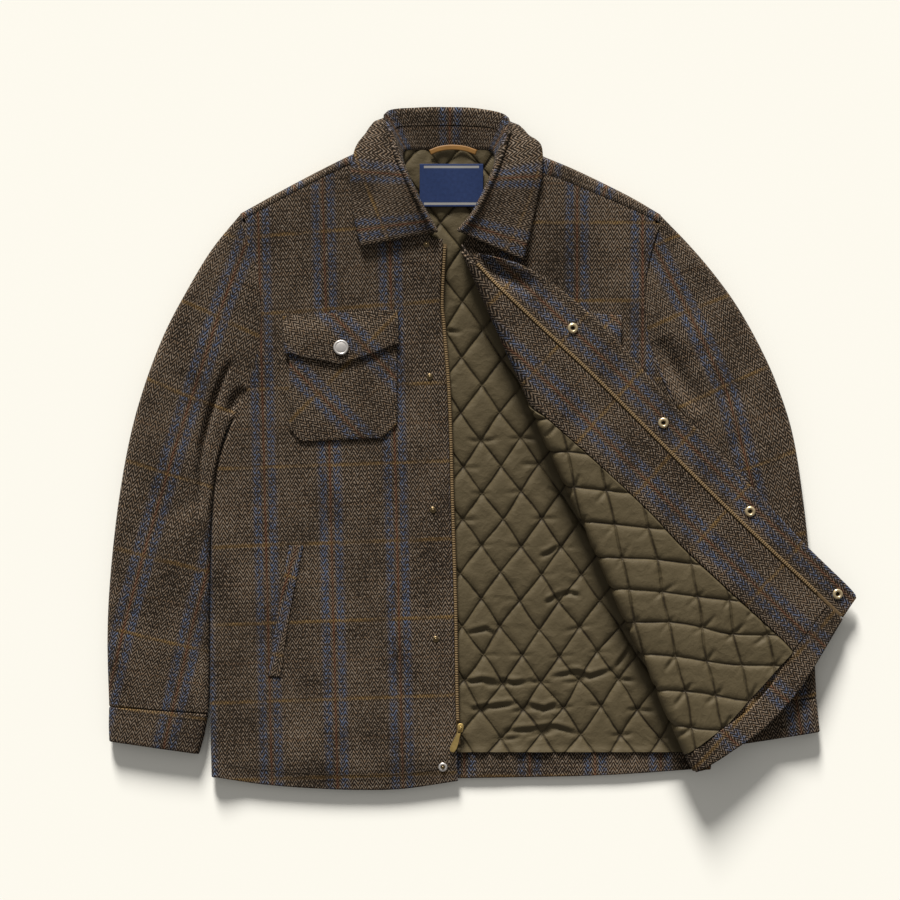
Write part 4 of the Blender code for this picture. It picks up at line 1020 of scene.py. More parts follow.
def satin_look():
    """Olive satin: soft patches, a fine weave, and sewn grooves of uneven depth where the diamonds meet,
    darkened by painted shade in the grooves and at their knots.
    """
    material, tree, shader = blank("quilted_satin", roughness=0.60, specular=0.14)
    place, x, y = cloth_place(tree)
    along = (x - QUILT_NODE[0] * MM) / (2 * QUILT_HALF[0] * MM)
    up = (y - QUILT_NODE[1] * MM) / (2 * QUILT_HALF[1] * MM)
    shake = uneven(place, *SEAM_SHAKE)
    one, two = (along + up).calc("PINGPONG", 0.5) + shake, (up - along).calc("PINGPONG", 0.5) + shake
    near, far = one.calc("MINIMUM", two), one.calc("MAXIMUM", two)
    patchy = grain(place, GROOVE_SCALE).step_up(*GROOVE_STEP)
    sewn = near.step_down(GROOVE_CORE, patchy * GROOVE_WIDE[0] + GROOVE_WIDE[1])
    knot = far.step_down(*KNOT_STEP)
    # Painted shade: the grooves and their knots are darkened in the colour, as if shade lay in them
    dark = (sewn * (patchy * GROOVE_SHADE_SHARE[0] + GROOVE_SHADE_SHARE[1])).calc("MAXIMUM", knot * KNOT_SHADE_SHARE)
    colour = blend(grain(place, SATIN_SCALE, 3.0), SATIN_SHADE, SATIN_LIGHT)
    colour = blend(dark, colour, GROOVE_SHADE_COLOUR)
    crinkle = (grain(place, CRINKLE_SCALE, 5.0) - 0.5).calc("ABSOLUTE") * CRINKLE
    groove = near.step_up(*GROOVE_SIDES) - knot * KNOT_DEEP
    coat(shader, colour, y.sine(SATIN_PITCH) * SATIN_WEAVE + crinkle + groove, strength=0.6, distance=0.0024)
    return material


def plain_weave_look(name, colour, shade, pitch, roughness=0.85):
    """A narrow woven band: two crossed sines of its cloth coordinates between two shades."""
    material, tree, shader = blank(name, roughness, specular=0.2)
    place, x, y = cloth_place(tree)
    rib = x.sine(pitch) * y.sine(pitch) * TAPE_RIB[0] + TAPE_RIB[1] + uneven(place, *TAPE_GRAIN)
    coat(shader, blend(rib, (*shade, 1), (*colour, 1)), rib, strength=0.4, distance=0.0004)
    return material


def label_look():
    """Navy woven label: a fine weave and two pale bars across."""
    material, tree, shader = blank("woven_label", roughness=0.6, specular=0.25)
    place, x, y = cloth_place(tree)
    left, right, low, high = (value * MM for value in LABEL)
    weave = y.sine(LABEL_PITCH) * LABEL_WEAVE + grain(place, LABEL_SCALE)
    across = (x - (left + right) / 2).calc("ABSOLUTE")
    from_middle = (y - (low + high) / 2).calc("ABSOLUTE")
    bar = from_middle.step_up(*BAR_NEAR) * from_middle.step_down(*BAR_FAR) * across.step_down(*BAR_END)
    coat(shader, blend(bar, blend(weave, NAVY_SHADE, NAVY), LABEL_BAR), weave, strength=0.3, distance=0.0003)
    return material


def metal_look(name, colour, worn, roughness, metallic=1.0):
    """Metal with a slightly uneven tone and fine scratches, on object coordinates."""
    material, tree, shader = blank(name, roughness, metallic=metallic, specular=0.5)
    place = object_place(tree)
    tone = grain(place, METAL_SCALE, 4.0)
    coat(shader, blend(tone, (*worn, 1), (*colour, 1)), grain(place, SCRATCH_SCALE),
         strength=0.06, distance=0.0002)
    return material


def leather_look():
    """Tan leather: cloudy tone and a fine pebbled grain, on object coordinates."""
    material, tree, shader = blank("tan_leather", roughness=0.5, specular=0.4)
    place = object_place(tree)
    tone = grain(place, LEATHER_SCALE, 4.0)
    coat(shader, blend(tone, LEATHER_SHADE, LEATHER), grain(place, PEBBLE_SCALE, 3.0),
         strength=0.3, distance=0.0003)
    return material


def thread_look(name, colour, shade):
    """Sewing thread: a fine uneven tone that also roughens it, on object coordinates."""
    material, tree, shader = blank(name, roughness=0.7, specular=0.25)
    tone = grain(object_place(tree), THREAD_SCALE)
    coat(shader, blend(tone, (*shade, 1), (*colour, 1)), tone, strength=0.3, distance=0.0002)
    return material


wool = wool_look()
satin = satin_look()
tape_look = plain_weave_look("zip_tape_weave", (0.150, 0.098, 0.046), (0.075, 0.048, 0.022), 0.0014)
label_cloth = label_look()
brass = metal_look("brass", (0.56, 0.40, 0.15), (0.34, 0.23, 0.07), 0.34, 0.7)
tooth_brass = metal_look("tooth_brass", (0.40, 0.28, 0.145), (0.23, 0.15, 0.07), 0.42, 0.45)
gilt = metal_look("gilt", (0.66, 0.54, 0.34), (0.40, 0.30, 0.16), 0.34, 0.7)
old_brass = metal_look("old_brass", (0.26, 0.19, 0.10), (0.10, 0.07, 0.035), 0.36)
# Near-black metal used as painted shade in the sockets' holes
painted_hole_shade = metal_look("painted_hole_shade", (0.030, 0.022, 0.014), (0.012, 0.009, 0.006), 0.6)
silver = metal_look("silver", (0.72, 0.68, 0.64), (0.46, 0.43, 0.40), 0.40, 0.6)
leather = leather_look()
thread = thread_look("brown_thread", (0.060, 0.043, 0.028), (0.022, 0.015, 0.010))


def pulled(plan):
    """Quilting lines drawn off square by the sewing: crossed sines, stronger toward the hem."""
    x, y = plan[..., 0], plan[..., 1]
    least, more, start, reach = SEWN_GROW
    grow = least + more * ease((start - y) / reach)
    return np.stack((x + grow * sines(x, y, SEWN_SIDEWAYS), y + grow * sines(x, y, SEWN_UPWARD)), axis=-1)


def scatter(one, two, seed):
    """An uneven number from 0 to 1 for each crossing of the quilting: the broken part of a large sine."""
    return (np.sin(one * SCATTER[0] + two * SCATTER[1] + seed) * SCATTER[2]) % 1.0


def puckers(x, y, one, two):
    """Creases that run out level from some crossings: a bell across a bent line, a cosine along it."""
    a, b = np.round(one), np.round(two)
    off_x = x - QUILT_NODE[0] - (a - b) * QUILT_HALF[0]
    off_y = y - QUILT_NODE[1] - (a + b) * QUILT_HALF[1]
    weight, less, more, start, fade = PUCKER_STRONG
    strong = np.clip(weight * scatter(a, b, 1.0) - less + more * ease((start - y) / fade), 0, 1)
    shift = PUCKER_SHIFT * (scatter(a, b, 2.0) - 0.5)
    reach = PUCKER_REACH[0] + PUCKER_REACH[1] * scatter(a, b, 3.0)
    bent = PUCKER_LEAN * (scatter(a, b, 4.0) - 0.5) * off_x
    bent = bent + PUCKER_BEND[0] * (scatter(a, b, 5.0) - PUCKER_BEND[1]) * (off_x / QUILT_HALF[0]) ** 2
    along = np.cos(math.pi / 2 * np.clip(np.abs(off_x - shift) / reach, 0, 1))
    return strong * along * np.exp(-((off_y - bent) / PUCKER_WIDE) ** 2)


def quilt_rise(sewn):
    """Height of the quilting: in each diamond the product of two sixth-power arches, less the puckers."""
    x, y = sewn[..., 0], sewn[..., 1]
    along, up = (x - QUILT_NODE[0]) / (2 * QUILT_HALF[0]), (y - QUILT_NODE[1]) / (2 * QUILT_HALF[1])
    one, two = np.abs((along + up) % 1.0 - 0.5) * 2, np.abs((up - along) % 1.0 - 0.5) * 2
    dome = (1 - one ** DOME_POWER) * (1 - two ** DOME_POWER)
    pull = np.sin(x / CRUMPLE_X[0] + CRUMPLE_X[1] * np.sin(y / CRUMPLE_X[2]))
    pull = pull * np.sin(y / CRUMPLE_Y[0] + CRUMPLE_Y[1] * np.sin(x / CRUMPLE_Y[2]))
    crumple = CRUMPLE * pull * (1 - CRUMPLE_FLAT * dome)
    mean, swing, one_step, two_step = PUFF_UNEVEN
    full = mean + swing * np.sin(np.floor(along + up) * one_step + np.floor(up - along) * two_step)
    crease = PUCKER_DEEP * puckers(x, y, along + up, up - along)
    return np.maximum(QUILT_LOW + QUILT_PUFF * (dome * full + crumple) - crease, QUILT_LEAST)


def side_strip(flank, out):
    """The rolled side of a front: a half circle under the body below the arm, level along the armhole."""
    inner = flank + np.array((-out * ROLL_REACH, 0.0))
    rolled = ease((UNDERARM_Y - flank[:, 1]) / UNDERARM_Y)[:, None]
    step = np.linspace(1, 0, ROLL_COLUMNS, endpoint=False)[None, :]
    level = (1 - rolled) * (ROLL_REACH - ARMHOLE_SEAM)
    height = np.repeat(inner[:, 1:], ROLL_COLUMNS, axis=1)
    sideways = rolled * SIDE_ROLL * np.sin(math.pi * step) + level * step
    plan = np.stack((inner[:, :1] + out * sideways, height), axis=2)
    under = -rolled * SIDE_ROLL * (1 - np.cos(math.pi * step))
    run = (rolled * math.pi * SIDE_ROLL + level) * step
    cut = np.stack((inner[:, :1] + out * run, height), axis=2)
    return inner, plan, under, cut


def front_grid(side, hole, foot, top_line, opening, out):
    """Pattern grid of a front with its rolled side: plan, height beside the flat cloth, cut and half wall."""
    wide, long = FRONT_SIZE
    rows_hole = np.linspace(0, 1, int(HOLE_LONG / CELL))
    flank = np.concatenate((spread(side, steps(SIDE_LONG, CELL)[:-2]), armhole(hole, rows_hole)))
    v = run_along(flank)
    v = v / v[-1]
    inner, strip, under, strip_cut = side_strip(flank, out)
    top_line = np.concatenate((inner[-1:], top_line[1:]))
    u = steps(wide, CELL)
    low = spread(foot, u)
    low[:, 0] = low[:, 0] + (1 - u) * (inner[0, 0] - low[0, 0])
    flat = coons(low, spread(top_line, u), inner, spread(opening, v), u, v)
    plan = np.concatenate((strip, flat), axis=1)
    cut = np.concatenate((strip_cut, flat), axis=1)
    height = np.concatenate((under, np.zeros(flat.shape[:2])), axis=1)
    ends = to_end(v)[:, None] * long
    rim = np.minimum((1 - u)[None, :] * wide, ends)
    rim = np.concatenate((np.repeat(ends, ROLL_COLUMNS, axis=1), rim), axis=1)
    return plan, height, cut, round_off(rim, WOOL, SEAM_RIM)[..., None]


def front_top(yoke, neck):
    """Top line of a front: the forward seam of the shoulder, a seam inside the yoke, then the neck."""
    rows = spread(yoke, TOP_POINTS)
    seam = rows[:, :2] + unit(rows[:, 2:4] - rows[:, :2]) * (rows[:, 4:] + SEAM)
    return np.concatenate((seam, spread(neck, TOP_POINTS)[1:]))


def add_right_front():
    """The right front: its grid lifted to the front's height, with the check leaning as in the photo."""
    top = front_top(YOKE_RIGHT, NECK_RIGHT)
    plan, bend, cut, half = front_grid(SIDE_RIGHT, ARMHOLE_RIGHT, HEM_RIGHT, top, OPENING_RIGHT, -1)
    middle = with_height(plan, front_z(plan[..., 0], plan[..., 1]) + bend)
    out = normals(middle) * half
    x, y = cut[..., 0], cut[..., 1]
    lean, more, start, reach, centre = LINE_LEAN
    tilt = lean + more * ease((y - start) / reach)
    lie = np.stack((x + STRIPE_LEAN[0] * (y + STRIPE_LEAN[1]), y - tilt * (x + centre)), axis=2)
    cloth("right_front_wool", middle + out, middle - out, lie, wool, ["right_front"],
          flat=cut)


def add_left_front():
    """The left front: its flat grid and rolled side, carried round the fold."""
    top = front_top(YOKE_LEFT, NECK_LEFT)
    plan, bend, cut, half = front_grid(SIDE_LEFT, ARMHOLE_LEFT, HEM_LEFT, top, ZIP_LEFT, 1)
    middle = with_height(plan, bend)
    out = normals(middle) * half
    cloth("left_front_wool", turned_back(middle + out), turned_back(middle - out), cut + np.array(LEFT_SHIFT),
          wool, ["left_front"])


def folded_piece(name, plan, u, v, size, low, high, node, stripe=None):
    """A flat piece laid on the left front's pattern between two depths, rounded at its rims, then folded."""
    outer, inner = both_faces(plan, (low + high) / 2, rounded(u, v, *size, high - low), folded)
    lie = plan + np.array(LEFT_SHIFT)
    if stripe is not None:
        from_zip = plan[..., 0] - zip_x(plan[..., 1])
        lie = np.stack((from_zip + stripe + STRIPE_LEFT, plan[..., 1]), axis=2)
    cloth(name, outer, inner, lie, wool, [node], flat=plan)


def add_placket():
    """The strip before the zip: straight lines from its free edge to the zip, pointed at both ends."""
    u, v = steps(PLACKET_SIZE[0], FINE_CELL), steps(PLACKET_SIZE[1], CELL)
    edge = spread(PLACKET_EDGE, v)
    inside = np.column_stack((zip_x(edge[:, 1]) - CURVED_SEAM, edge[:, 1]))
    for corner, row, share in ((PLACKET_FOOT, 0, v), (PLACKET_TOP, -1, 1 - v)):
        shift = np.clip(1 - share / PLACKET_CORNER, 0, 1)[:, None]
        inside = inside + shift * (np.array(corner) - inside[row])
    folded_piece("placket_wool", ruled(edge, inside, u), u, v, PLACKET_SIZE, -WOOL / 2, DOUBLED - WOOL / 2,
                 "placket_left", PLACKET_STRIPE)


def add_facing():
    """The wool behind the zip: a Coons patch from the zip to the lining's seam, up to the top of the fold."""
    u, v = steps(FACING_SIZE[0], MID_CELL), steps(FACING_SIZE[1], CELL)
    end = FOLD_FROM + FOLD_ACROSS * UNDER_FOLD + FOLD_LONG * FACING_START
    right = spread([*FACING_SEAM, end], v, smooth=False) + np.array((0.0, SEAM)) * (1 - v)[:, None]
    low = HEM_STRIP_LEFT[-1][1] + SEAM
    height = low + (FACING_TOP_Y - low) * v
    left = np.column_stack((zip_x(height) + CURVED_SEAM, height))
    foot, top = spread((left[0], right[0]), u), spread((left[-1], right[-1]), u)
    plan = coons(foot, top, left, right, u, v)
    folded_piece("facing_wool", plan, u, v, FACING_SIZE, FACING_LOW, FACING_HIGH, "facing_left",
                 FACING_STRIPE)


def add_left_hem():
    """The left front's hem band: straight lines from the hem's edge up to its seam with the lining."""
    u, v = steps(HEM_SIZE[0], MID_CELL), steps(HEM_SIZE[1], FINE_CELL)
    start = FOLD_FROM + FOLD_LONG * HEM_END + FOLD_ACROSS * UNDER_FOLD
    lower = spread([start, *HEM_LEFT[1:-1], HEM_CORNER], u)
    plan = ruled(lower, spread(HEM_STRIP_LEFT, u), v).swapaxes(0, 1)
    folded_piece("hem_wool", plan, u, v, HEM_SIZE, FACING_LOW, FACING_HIGH, "hem_left")


def add_left_lining():
    """The left front's lining: quilting that stands out from the facing's depth, flatter inside the fold."""
    v, u = (np.linspace(0, 1, count) for count in LEFT_LINING_GRID)
    seam = spread(FACING_SEAM, v) + np.array((2 * SEAM, 0.0))
    ahead = (FOLD_FROM[1] - seam[:, 1]) / -FOLD_LONG[1]
    plan = ruled(seam, FOLD_FROM + FOLD_LONG * ahead[:, None] + FOLD_ACROSS * UNDER_FOLD, u)
    hem_line = np.array(HEM_STRIP_LEFT[::-1], float)
    floor = np.interp(plan[..., 0], hem_line[:, 0], hem_line[:, 1]) + 2 * SEAM
    plan[..., 1] = np.maximum(plan[..., 1], floor)
    shown = ease((past_fold(plan[..., 0], plan[..., 1]) + UNDER_FOLD) / (2 * UNDER_FOLD))
    sewn = pulled(plan)
    rise = quilt_rise(sewn) * (QUILT_IN_FOLD + (1 - QUILT_IN_FOLD) * shown)
    rise = rise * np.minimum(u[None, :] * SEAM_GROW + SEAM_START, 1)
    cloth("left_lining", folded(plan, FACING_HIGH - rise), folded(plan, FACING_HIGH), sewn, satin,
          ["lining_left"], flat=plan)


def back_side(side, hole, inset, foot, top, v):
    """One side of the back: the side seam and the armhole, moved in, between two corners."""
    along_hole = np.linspace(0, 1, HOLE_ROWS)[1:-1]
    rows = np.concatenate((spread(side, SIDE_ROWS), armhole(hole, along_hole), top[None]))
    rows[:-1, 0] += inset
    rows[-2, 1] -= SHOULDER_EASE
    rows[0] = foot
    return at_run(rows, np.linspace(0, 1, len(rows)), v)


def add_back():
    """The back: a Coons patch between its hem, its shoulders and its sides, lifted at the neck."""
    u, v = (steps(length, COARSE_CELL) for length in BACK_SIZE)
    top = np.array([row[2:4] for row in YOKE_RIGHT] + [BACK_NECK] + [row[2:4] for row in YOKE_LEFT[::-1]])
    top = spread(top + np.array((0.0, -2 * SEAM)), u, smooth=False)
    foot = spread(BACK_HEM, u)
    right = back_side(SIDE_RIGHT, ARMHOLE_RIGHT, BACK_INSET, foot[0], top[0], v)
    left = back_side(SIDE_LEFT, ARMHOLE_LEFT, -BACK_INSET, foot[-1], top[-1], v)
    plan = coons(foot, top, right, left, u, v)
    middle = neck_lift(plan[..., 0], plan[..., 1]) + FLOOR_MID
    outer, inner = both_faces(plan, middle, rounded(u, v, *BACK_SIZE, WOOL))
    cloth("back_wool", outer, inner, plan, wool, ["back"])


def add_back_hem():
    """The back's hem strip: straight lines from its edge to a level seam, with a ripple of two sines."""
    u, v = steps(BACK_HEM_SIZE[0], CELL), steps(BACK_HEM_SIZE[1], FINE_CELL)
    foot = spread(BACK_HEM, u)
    foot[:, 0] = BACK_STRIP_X[0] + (BACK_STRIP_X[1] - BACK_STRIP_X[0]) * u
    upper = np.column_stack((foot[:, 0], np.full(len(u), BACK_STRIP_Y)))
    plan = ruled(foot, upper, v).swapaxes(0, 1)
    high, short, long = HEM_RIPPLE
    middle = 1.5 * WOOL + REST_GAP + high * np.sin(plan[..., 0] / short) * np.sin(plan[..., 0] / long)
    outer, inner = both_faces(plan, middle, rounded(u, v, *BACK_HEM_SIZE, WOOL))
    cloth("back_hem_wool", outer, inner, plan, wool, ["hem_back"])


def add_back_lining():
    """The back's lining: quilting on the back, with a lip at its foot and level creases pressed in."""
    rows, hidden, shown = BACK_LINING_GRID
    v = np.linspace(0, 1, rows)
    under_front = np.linspace(0, HIDDEN_SHARE, hidden, endpoint=False)
    u = np.concatenate((under_front, np.linspace(HIDDEN_SHARE, 1, shown)))
    right_side, left_side = np.array(LINING_RIGHT_SIDE, float), np.array(LINING_LEFT_SIDE, float)
    y = right_side[0, 1] + (right_side[-1, 1] - right_side[0, 1]) * v
    first = np.column_stack((np.interp(y, right_side[:, 1], right_side[:, 0]), y))
    last = np.column_stack((np.interp(y, left_side[:, 1], left_side[:, 0]), y))
    plan = ruled(first, last, u)
    bed = WOOL + REST_GAP + upper_lift(plan[..., 0], plan[..., 1])
    sewn = pulled(plan)
    rise = quilt_rise(sewn) + LINING_LIP * np.exp(-(v * LIP_FADE) ** 2)[:, None]
    ridge = pressed(plan - RIDGE_ABOVE, LINING_CREASES, CREASE_RIDGE)
    rise = np.maximum(rise - pressed(plan, LINING_CREASES, 1.0) + ridge, QUILT_LEAST)
    cloth("back_lining", with_height(plan, bed + rise), with_height(plan, bed), sewn, satin,
          ["lining_back"], flat=plan)


def add_yoke(name, node, rows):
    """A shoulder piece: a strip in front, a half circle over the shoulder and down the back to its seam."""
    v = steps(YOKE_LONG, CELL)
    rows = spread(rows, v)
    edge, way, forward = rows[:, :2], rows[:, 2:4] - rows[:, :2], rows[:, 4:]
    deep = np.linalg.norm(way, axis=1, keepdims=True)
    angle = np.linspace(0, math.pi, YOKE_ROLL)[None, :]
    rolled = np.repeat(ROLL_REACH - SIDE_ROLL * np.sin(angle), len(v), axis=0)
    front = forward + (ROLL_REACH - forward) * np.array(YOKE_FRONT)[None, :]
    behind = ROLL_REACH + (deep - ROLL_REACH) * np.linspace(0, 1, YOKE_BEHIND + 1)[None, 1:]
    inward = np.concatenate((front, rolled, behind), axis=1)
    fall = FRONT_Z - SIDE_ROLL * (1 - np.cos(angle[0]))
    level = np.full(len(YOKE_FRONT), FRONT_Z)
    height = np.concatenate((level, fall, np.full(YOKE_BEHIND, FLOOR_MID)))[None, :]
    plan = edge[:, None] + (way / deep)[:, None] * inward[..., None]
    upper = (height - FLOOR_MID) / (FRONT_Z - FLOOR_MID)
    low, high = neck_lift(plan[..., 0], plan[..., 1]), upper_lift(plan[..., 0], plan[..., 1])
    swell = wave(plan[..., 0], plan[..., 1]) * upper
    middle = with_height(plan, height + low + (high - low) * upper + swell)
    run = run_across(middle)
    rim = np.minimum(to_end(v)[:, None] * YOKE_LONG, np.minimum(run, run[:, -1:] - run))
    out = normals(middle) * round_off(rim, WOOL, SEAM_RIM)[..., None]
    cut = np.stack((np.repeat((v * YOKE_LONG)[:, None], run.shape[1], axis=1), -run), axis=2)
    cloth(name, middle + out, middle - out, cut, wool, [node])


def sleeve_grid(rows, inset, creases):
    """Rings of a flattened tube and which points are low: powered sines at its edges, creases pressed in."""
    outer, inner, high, bow = rows[:, :2], rows[:, 2:4], rows[:, 4:5], rows[:, 5:6]
    wide = np.linalg.norm(inner - outer, axis=1, keepdims=True)
    radius = high / 2
    bend = np.linspace(-math.pi / 2, math.pi / 2, SLEEVE_ENDS + 1)[None, :]
    flat = 1 - (1 - np.linspace(0, 1, SLEEVE_LEVEL + 1)[None, 1:-1]) ** TOWARD_BODY
    near = radius - (radius - inset) * np.maximum(np.cos(bend), 0) ** EDGE_POWER
    run = radius + (wide - 2 * radius) * flat
    across = np.concatenate((near, run, (wide - near)[:, ::-1], run[:, ::-1]), axis=1)
    rise = radius + (radius - inset) * np.sign(bend) * np.abs(np.sin(bend)) ** EDGE_POWER
    ones = np.ones_like(run)
    height = np.concatenate((rise, ones * (high - inset), rise[:, ::-1], ones * inset), axis=1)
    share = across / wide
    plan = outer[:, None] + (inner - outer)[:, None] * share[..., None]
    plan[..., 0] += bow * parabola(share)
    upper = np.clip(height / high * 2 - UPPER_FROM, 0, 1)
    swell = sines(plan[..., 0], plan[..., 1], SLEEVE_WAVES) - SLEEVE_SINK
    return with_height(plan, height + upper * swell - pressed(plan, creases, upper)), height < high / 2


def sleeve_lie(plan, stripe, lines):
    """Cloth coordinates on a sleeve: the distance from a check stripe, and the height between check lines."""
    stripe, lines = np.array(stripe[::-1], float), np.array(lines[::-1], float)
    x, y = plan[..., 0], plan[..., 1]
    across = (x - np.interp(y, stripe[:, 0], stripe[:, 1])) * SLEEVE_LEAN + STRIPE_X[0] / MM
    slope, centre = np.interp(y, lines[:, 0], lines[:, 2]), np.interp(y, lines[:, 0], lines[:, 1])
    check = (LINE_Y[0] + LINE_Y[1] * (TOP_LINE + 1 - np.arange(len(lines), 0, -1))) / MM
    return np.stack((across, np.interp(y + slope * (x - centre), lines[:, 0], check)), axis=2)


def add_sleeve(name, node, rows, creases, cell, length, stripe, lines):
    """A sleeve or cuff: the outer and inner rings of its wall, with the check laid on its upper face."""
    v = steps(length, cell)
    rows = spread(rows, v)
    outer, under = sleeve_grid(rows, 0.0, creases)
    inner = sleeve_grid(rows, SLEEVE_WALL, creases)[0]
    keep = (round_off(to_end(v) * length, SLEEVE_WALL, SEAM_RIM) / (SLEEVE_WALL / 2))[:, None, None]
    middle = (outer + inner) / 2
    outer, inner = middle + (outer - middle) * keep, middle + (inner - middle) * keep
    lie = sleeve_lie(outer, stripe, lines)
    edge = sleeve_lie(rows[:, None, :2], stripe, lines)
    lie[..., 0] = np.where(under, 2 * edge[..., 0] - lie[..., 0], lie[..., 0])
    lie = np.concatenate((lie, lie[:, :1]), axis=1)
    down = run_along((rows[:, :2] + rows[:, 2:4]) / 2)
    around = run_across(np.concatenate((outer, outer[:, :1]), axis=1))
    flat = np.stack((around, np.repeat(down[:, None], around.shape[1], axis=1)), axis=2)
    cloth(name, outer, inner, lie, wool, [node], ring=True, flat=flat)


def add_armhole(name, ends):
    """The seam allowance that lies under an armhole seam: a narrow strip beside the seam's curve."""
    wide, long = ARMHOLE_SIZE
    u = steps(wide, FINE_CELL)
    line = armhole(ends, np.linspace(*ARMHOLE_STRETCH, ARMHOLE_ROWS))
    plan = ruled(beside(line, -wide / 2), beside(line, wide / 2), u)
    half = rounded(u, np.linspace(0, 1, ARMHOLE_ROWS), wide, long, ARMHOLE_WALL)
    outer, inner = both_faces(plan, ARMHOLE_UNDER + upper_lift(plan[..., 0], plan[..., 1]), half)
    piece = shell(name, outer, inner, plan, wool)
    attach(piece, "jacket")


def collar_lines(rows):
    """Profiles of the collar's middle: neck seam, up the stand, over the roll, down the fall to its edge."""
    neck, roll, edge = rows[:, 0:3], rows[:, 3:6], rows[:, 6:9]
    tip = np.radians(rows[:, 9:10])
    leaf = 1 - ease(rows[:, 9:10] / LEAF_TURN)
    roll = roll + ROLL_IN * leaf * (neck - roll) * np.array((1, 1, 0))
    out = unit((edge - roll) * np.array((1, 1, 0)))
    over = roll + 2 * COLLAR_ROLL * (np.cos(tip) * out - np.sin(tip) * np.array((0, 0, 1)))
    crest = (roll + over) / 2 + COLLAR_ROLL * unit(roll - neck)
    return np.stack((neck, (neck + roll) / 2, roll, crest, over, (over + edge) / 2, edge), axis=1)


def collar_lie(rows, v, length, place):
    """Cloth run along the collar: by its roll inside, by its length outside, by its edge at the corners."""
    roll, edge = run_along(rows[:, 3:5]), run_along(rows[:, 6:8])
    inside = roll - np.interp(0.5, v, roll) + BACK_STRIPE
    start, end = np.nonzero(rows[:, 9] > LEAF_END)[0][[0, -1]]
    corner = np.where(v < 0.5, length[start] + edge - edge[start], length[end] + edge - edge[end])
    leaf = np.where(rows[:, 9] > LEAF_END, corner, length)
    return np.where(place > CREST, leaf[:, None], inside[:, None])


def collar_part(name, node, first, last, count):
    """A band of the collar between two places of its profile, rounded at its free edges."""
    v = steps(COLLAR_LONG, FINE_CELL)
    rows = spread(COLLAR, v)
    close = np.array(COLLAR_RIM)
    u = np.concatenate((close, np.linspace(*COLLAR_INSIDE, count), 1 - close[::-1]))
    place = first + (last - first) * u
    before = np.linspace(0, first, COLLAR_BEFORE, endpoint=False)
    middle = np.array([spline(line, np.concatenate((before, place))) for line in collar_lines(rows)])
    run = run_across(middle)[:, COLLAR_BEFORE:]
    middle = middle[:, COLLAR_BEFORE:]
    free = run - run[:, :1] if first == 0 else run[:, -1:] - run
    rim = np.minimum(to_end(v)[:, None] * COLLAR_LONG, free)
    out = normals(middle) * round_off(rim, DOUBLED, RIM_LEAST)[..., None]
    length = v * COLLAR_LONG - COLLAR_STRIPE
    lie = np.stack((collar_lie(rows, v, length, place), run), axis=2)
    flat = np.stack((np.repeat(length[:, None], run.shape[1], axis=1), run), axis=2)
    cloth(name, middle + out, middle - out, lie, wool, [node], flat=flat)


def patch(top, foot, u, v):
    """A plan grid between a top line and a foot line."""
    top, foot = spread(top, u), spread(foot, u, smooth=False)
    return coons(foot, top, spread((foot[0], top[0]), v), spread((foot[-1], top[-1]), v), u, v)


def sewn_patch(name, node, plan, u, v, size, rise, turn_by, wall=WOOL):
    """A piece sewn on the right front: a wall that follows its height, rounded at its rims."""
    outer, inner = both_faces(plan, rise + wall / 2, rounded(u, v, *size, wall), on_front)
    cloth(name, outer, inner, turn(plan, turn_by), wool, [node], flat=plan)


def add_pockets():
    """The chest pocket, its flap, the end of the left flap, and the welt; flaps rise to their free edge."""
    u, v = (steps(length, FINE_CELL) for length in POCKET_SIZE)
    bag = patch(POCKET_TOP, POCKET_FOOT, u, v)
    sewn_patch("pocket_wool", "pocket_right", bag, u, v, POCKET_SIZE, REST_GAP, BIAS)
    v = steps(POCKET_FLAP_SIZE[1], NARROW_CELL)
    loose = FLAP_RISE * ease(FLAP_LOOSE * (1 - v))[:, None]
    flap = patch(POCKET_FLAP_TOP, POCKET_FLAP_FOOT, u, v)
    sewn_patch("pocket_flap_wool", "pocket_flap_right", flap, u, v, POCKET_FLAP_SIZE, FLAP_SEAT + loose, BIAS)
    u = steps(FLAP_LEFT_SIZE[0], FINE_CELL)
    flap = patch(POCKET_FLAP_LEFT_TOP, POCKET_FLAP_LEFT_FOOT, u, v)
    rise = REST_GAP + loose * ease(FLAP_LEFT_RISE[0] * u - FLAP_LEFT_RISE[1])[None, :]
    sewn_patch("pocket_flap_left_wool", "pocket_flap_left", flap, u, v, FLAP_LEFT_SIZE, rise, BIAS)
    u, v = steps(WELT_SIZE[0], NARROW_CELL), steps(WELT_SIZE[1], FINE_CELL)
    plan = ruled(spread(WELT_OUTER, v), spread(WELT_INNER, v), u)
    sewn_patch("welt_wool", "welt_right", plan, u, v, WELT_SIZE, WELT_SEAT, WELT_BIAS, WELT)


def between(line, heights, count):
    """The stretch of a plan line between two heights."""
    line = spread(line, LINE_POINTS)
    at = np.linspace(*heights, count)
    return np.column_stack((np.interp(at, line[:, 1], line[:, 0]), at))


def band(line, across, low, high):
    """Outer and inner grids of a band beside a plan line, rounded at its rims, and its flat cut."""
    across = np.array(across, float)
    wide = across[-1] - across[0]
    plan = line[:, None] + (beside(line, 1.0) - line)[:, None] * across[None, :, None]
    share = (across - across[0]) / wide
    half = rounded(share, np.linspace(0, 1, len(line)), wide, TAPE_LONG, 1.0) * (high - low)
    cut = np.stack(np.meshgrid(across, run_along(line)), axis=2)
    return *both_faces(plan, (low + high) / 2, half), cut


def spaced(line, pitch):
    """Spots a pitch apart along a line, and the way that the line goes there."""
    run = run_along(line)
    at = np.arange(pitch, run[-1], pitch)
    return at_run(line, run, at), at_run(np.gradient(line, axis=0), run, at)


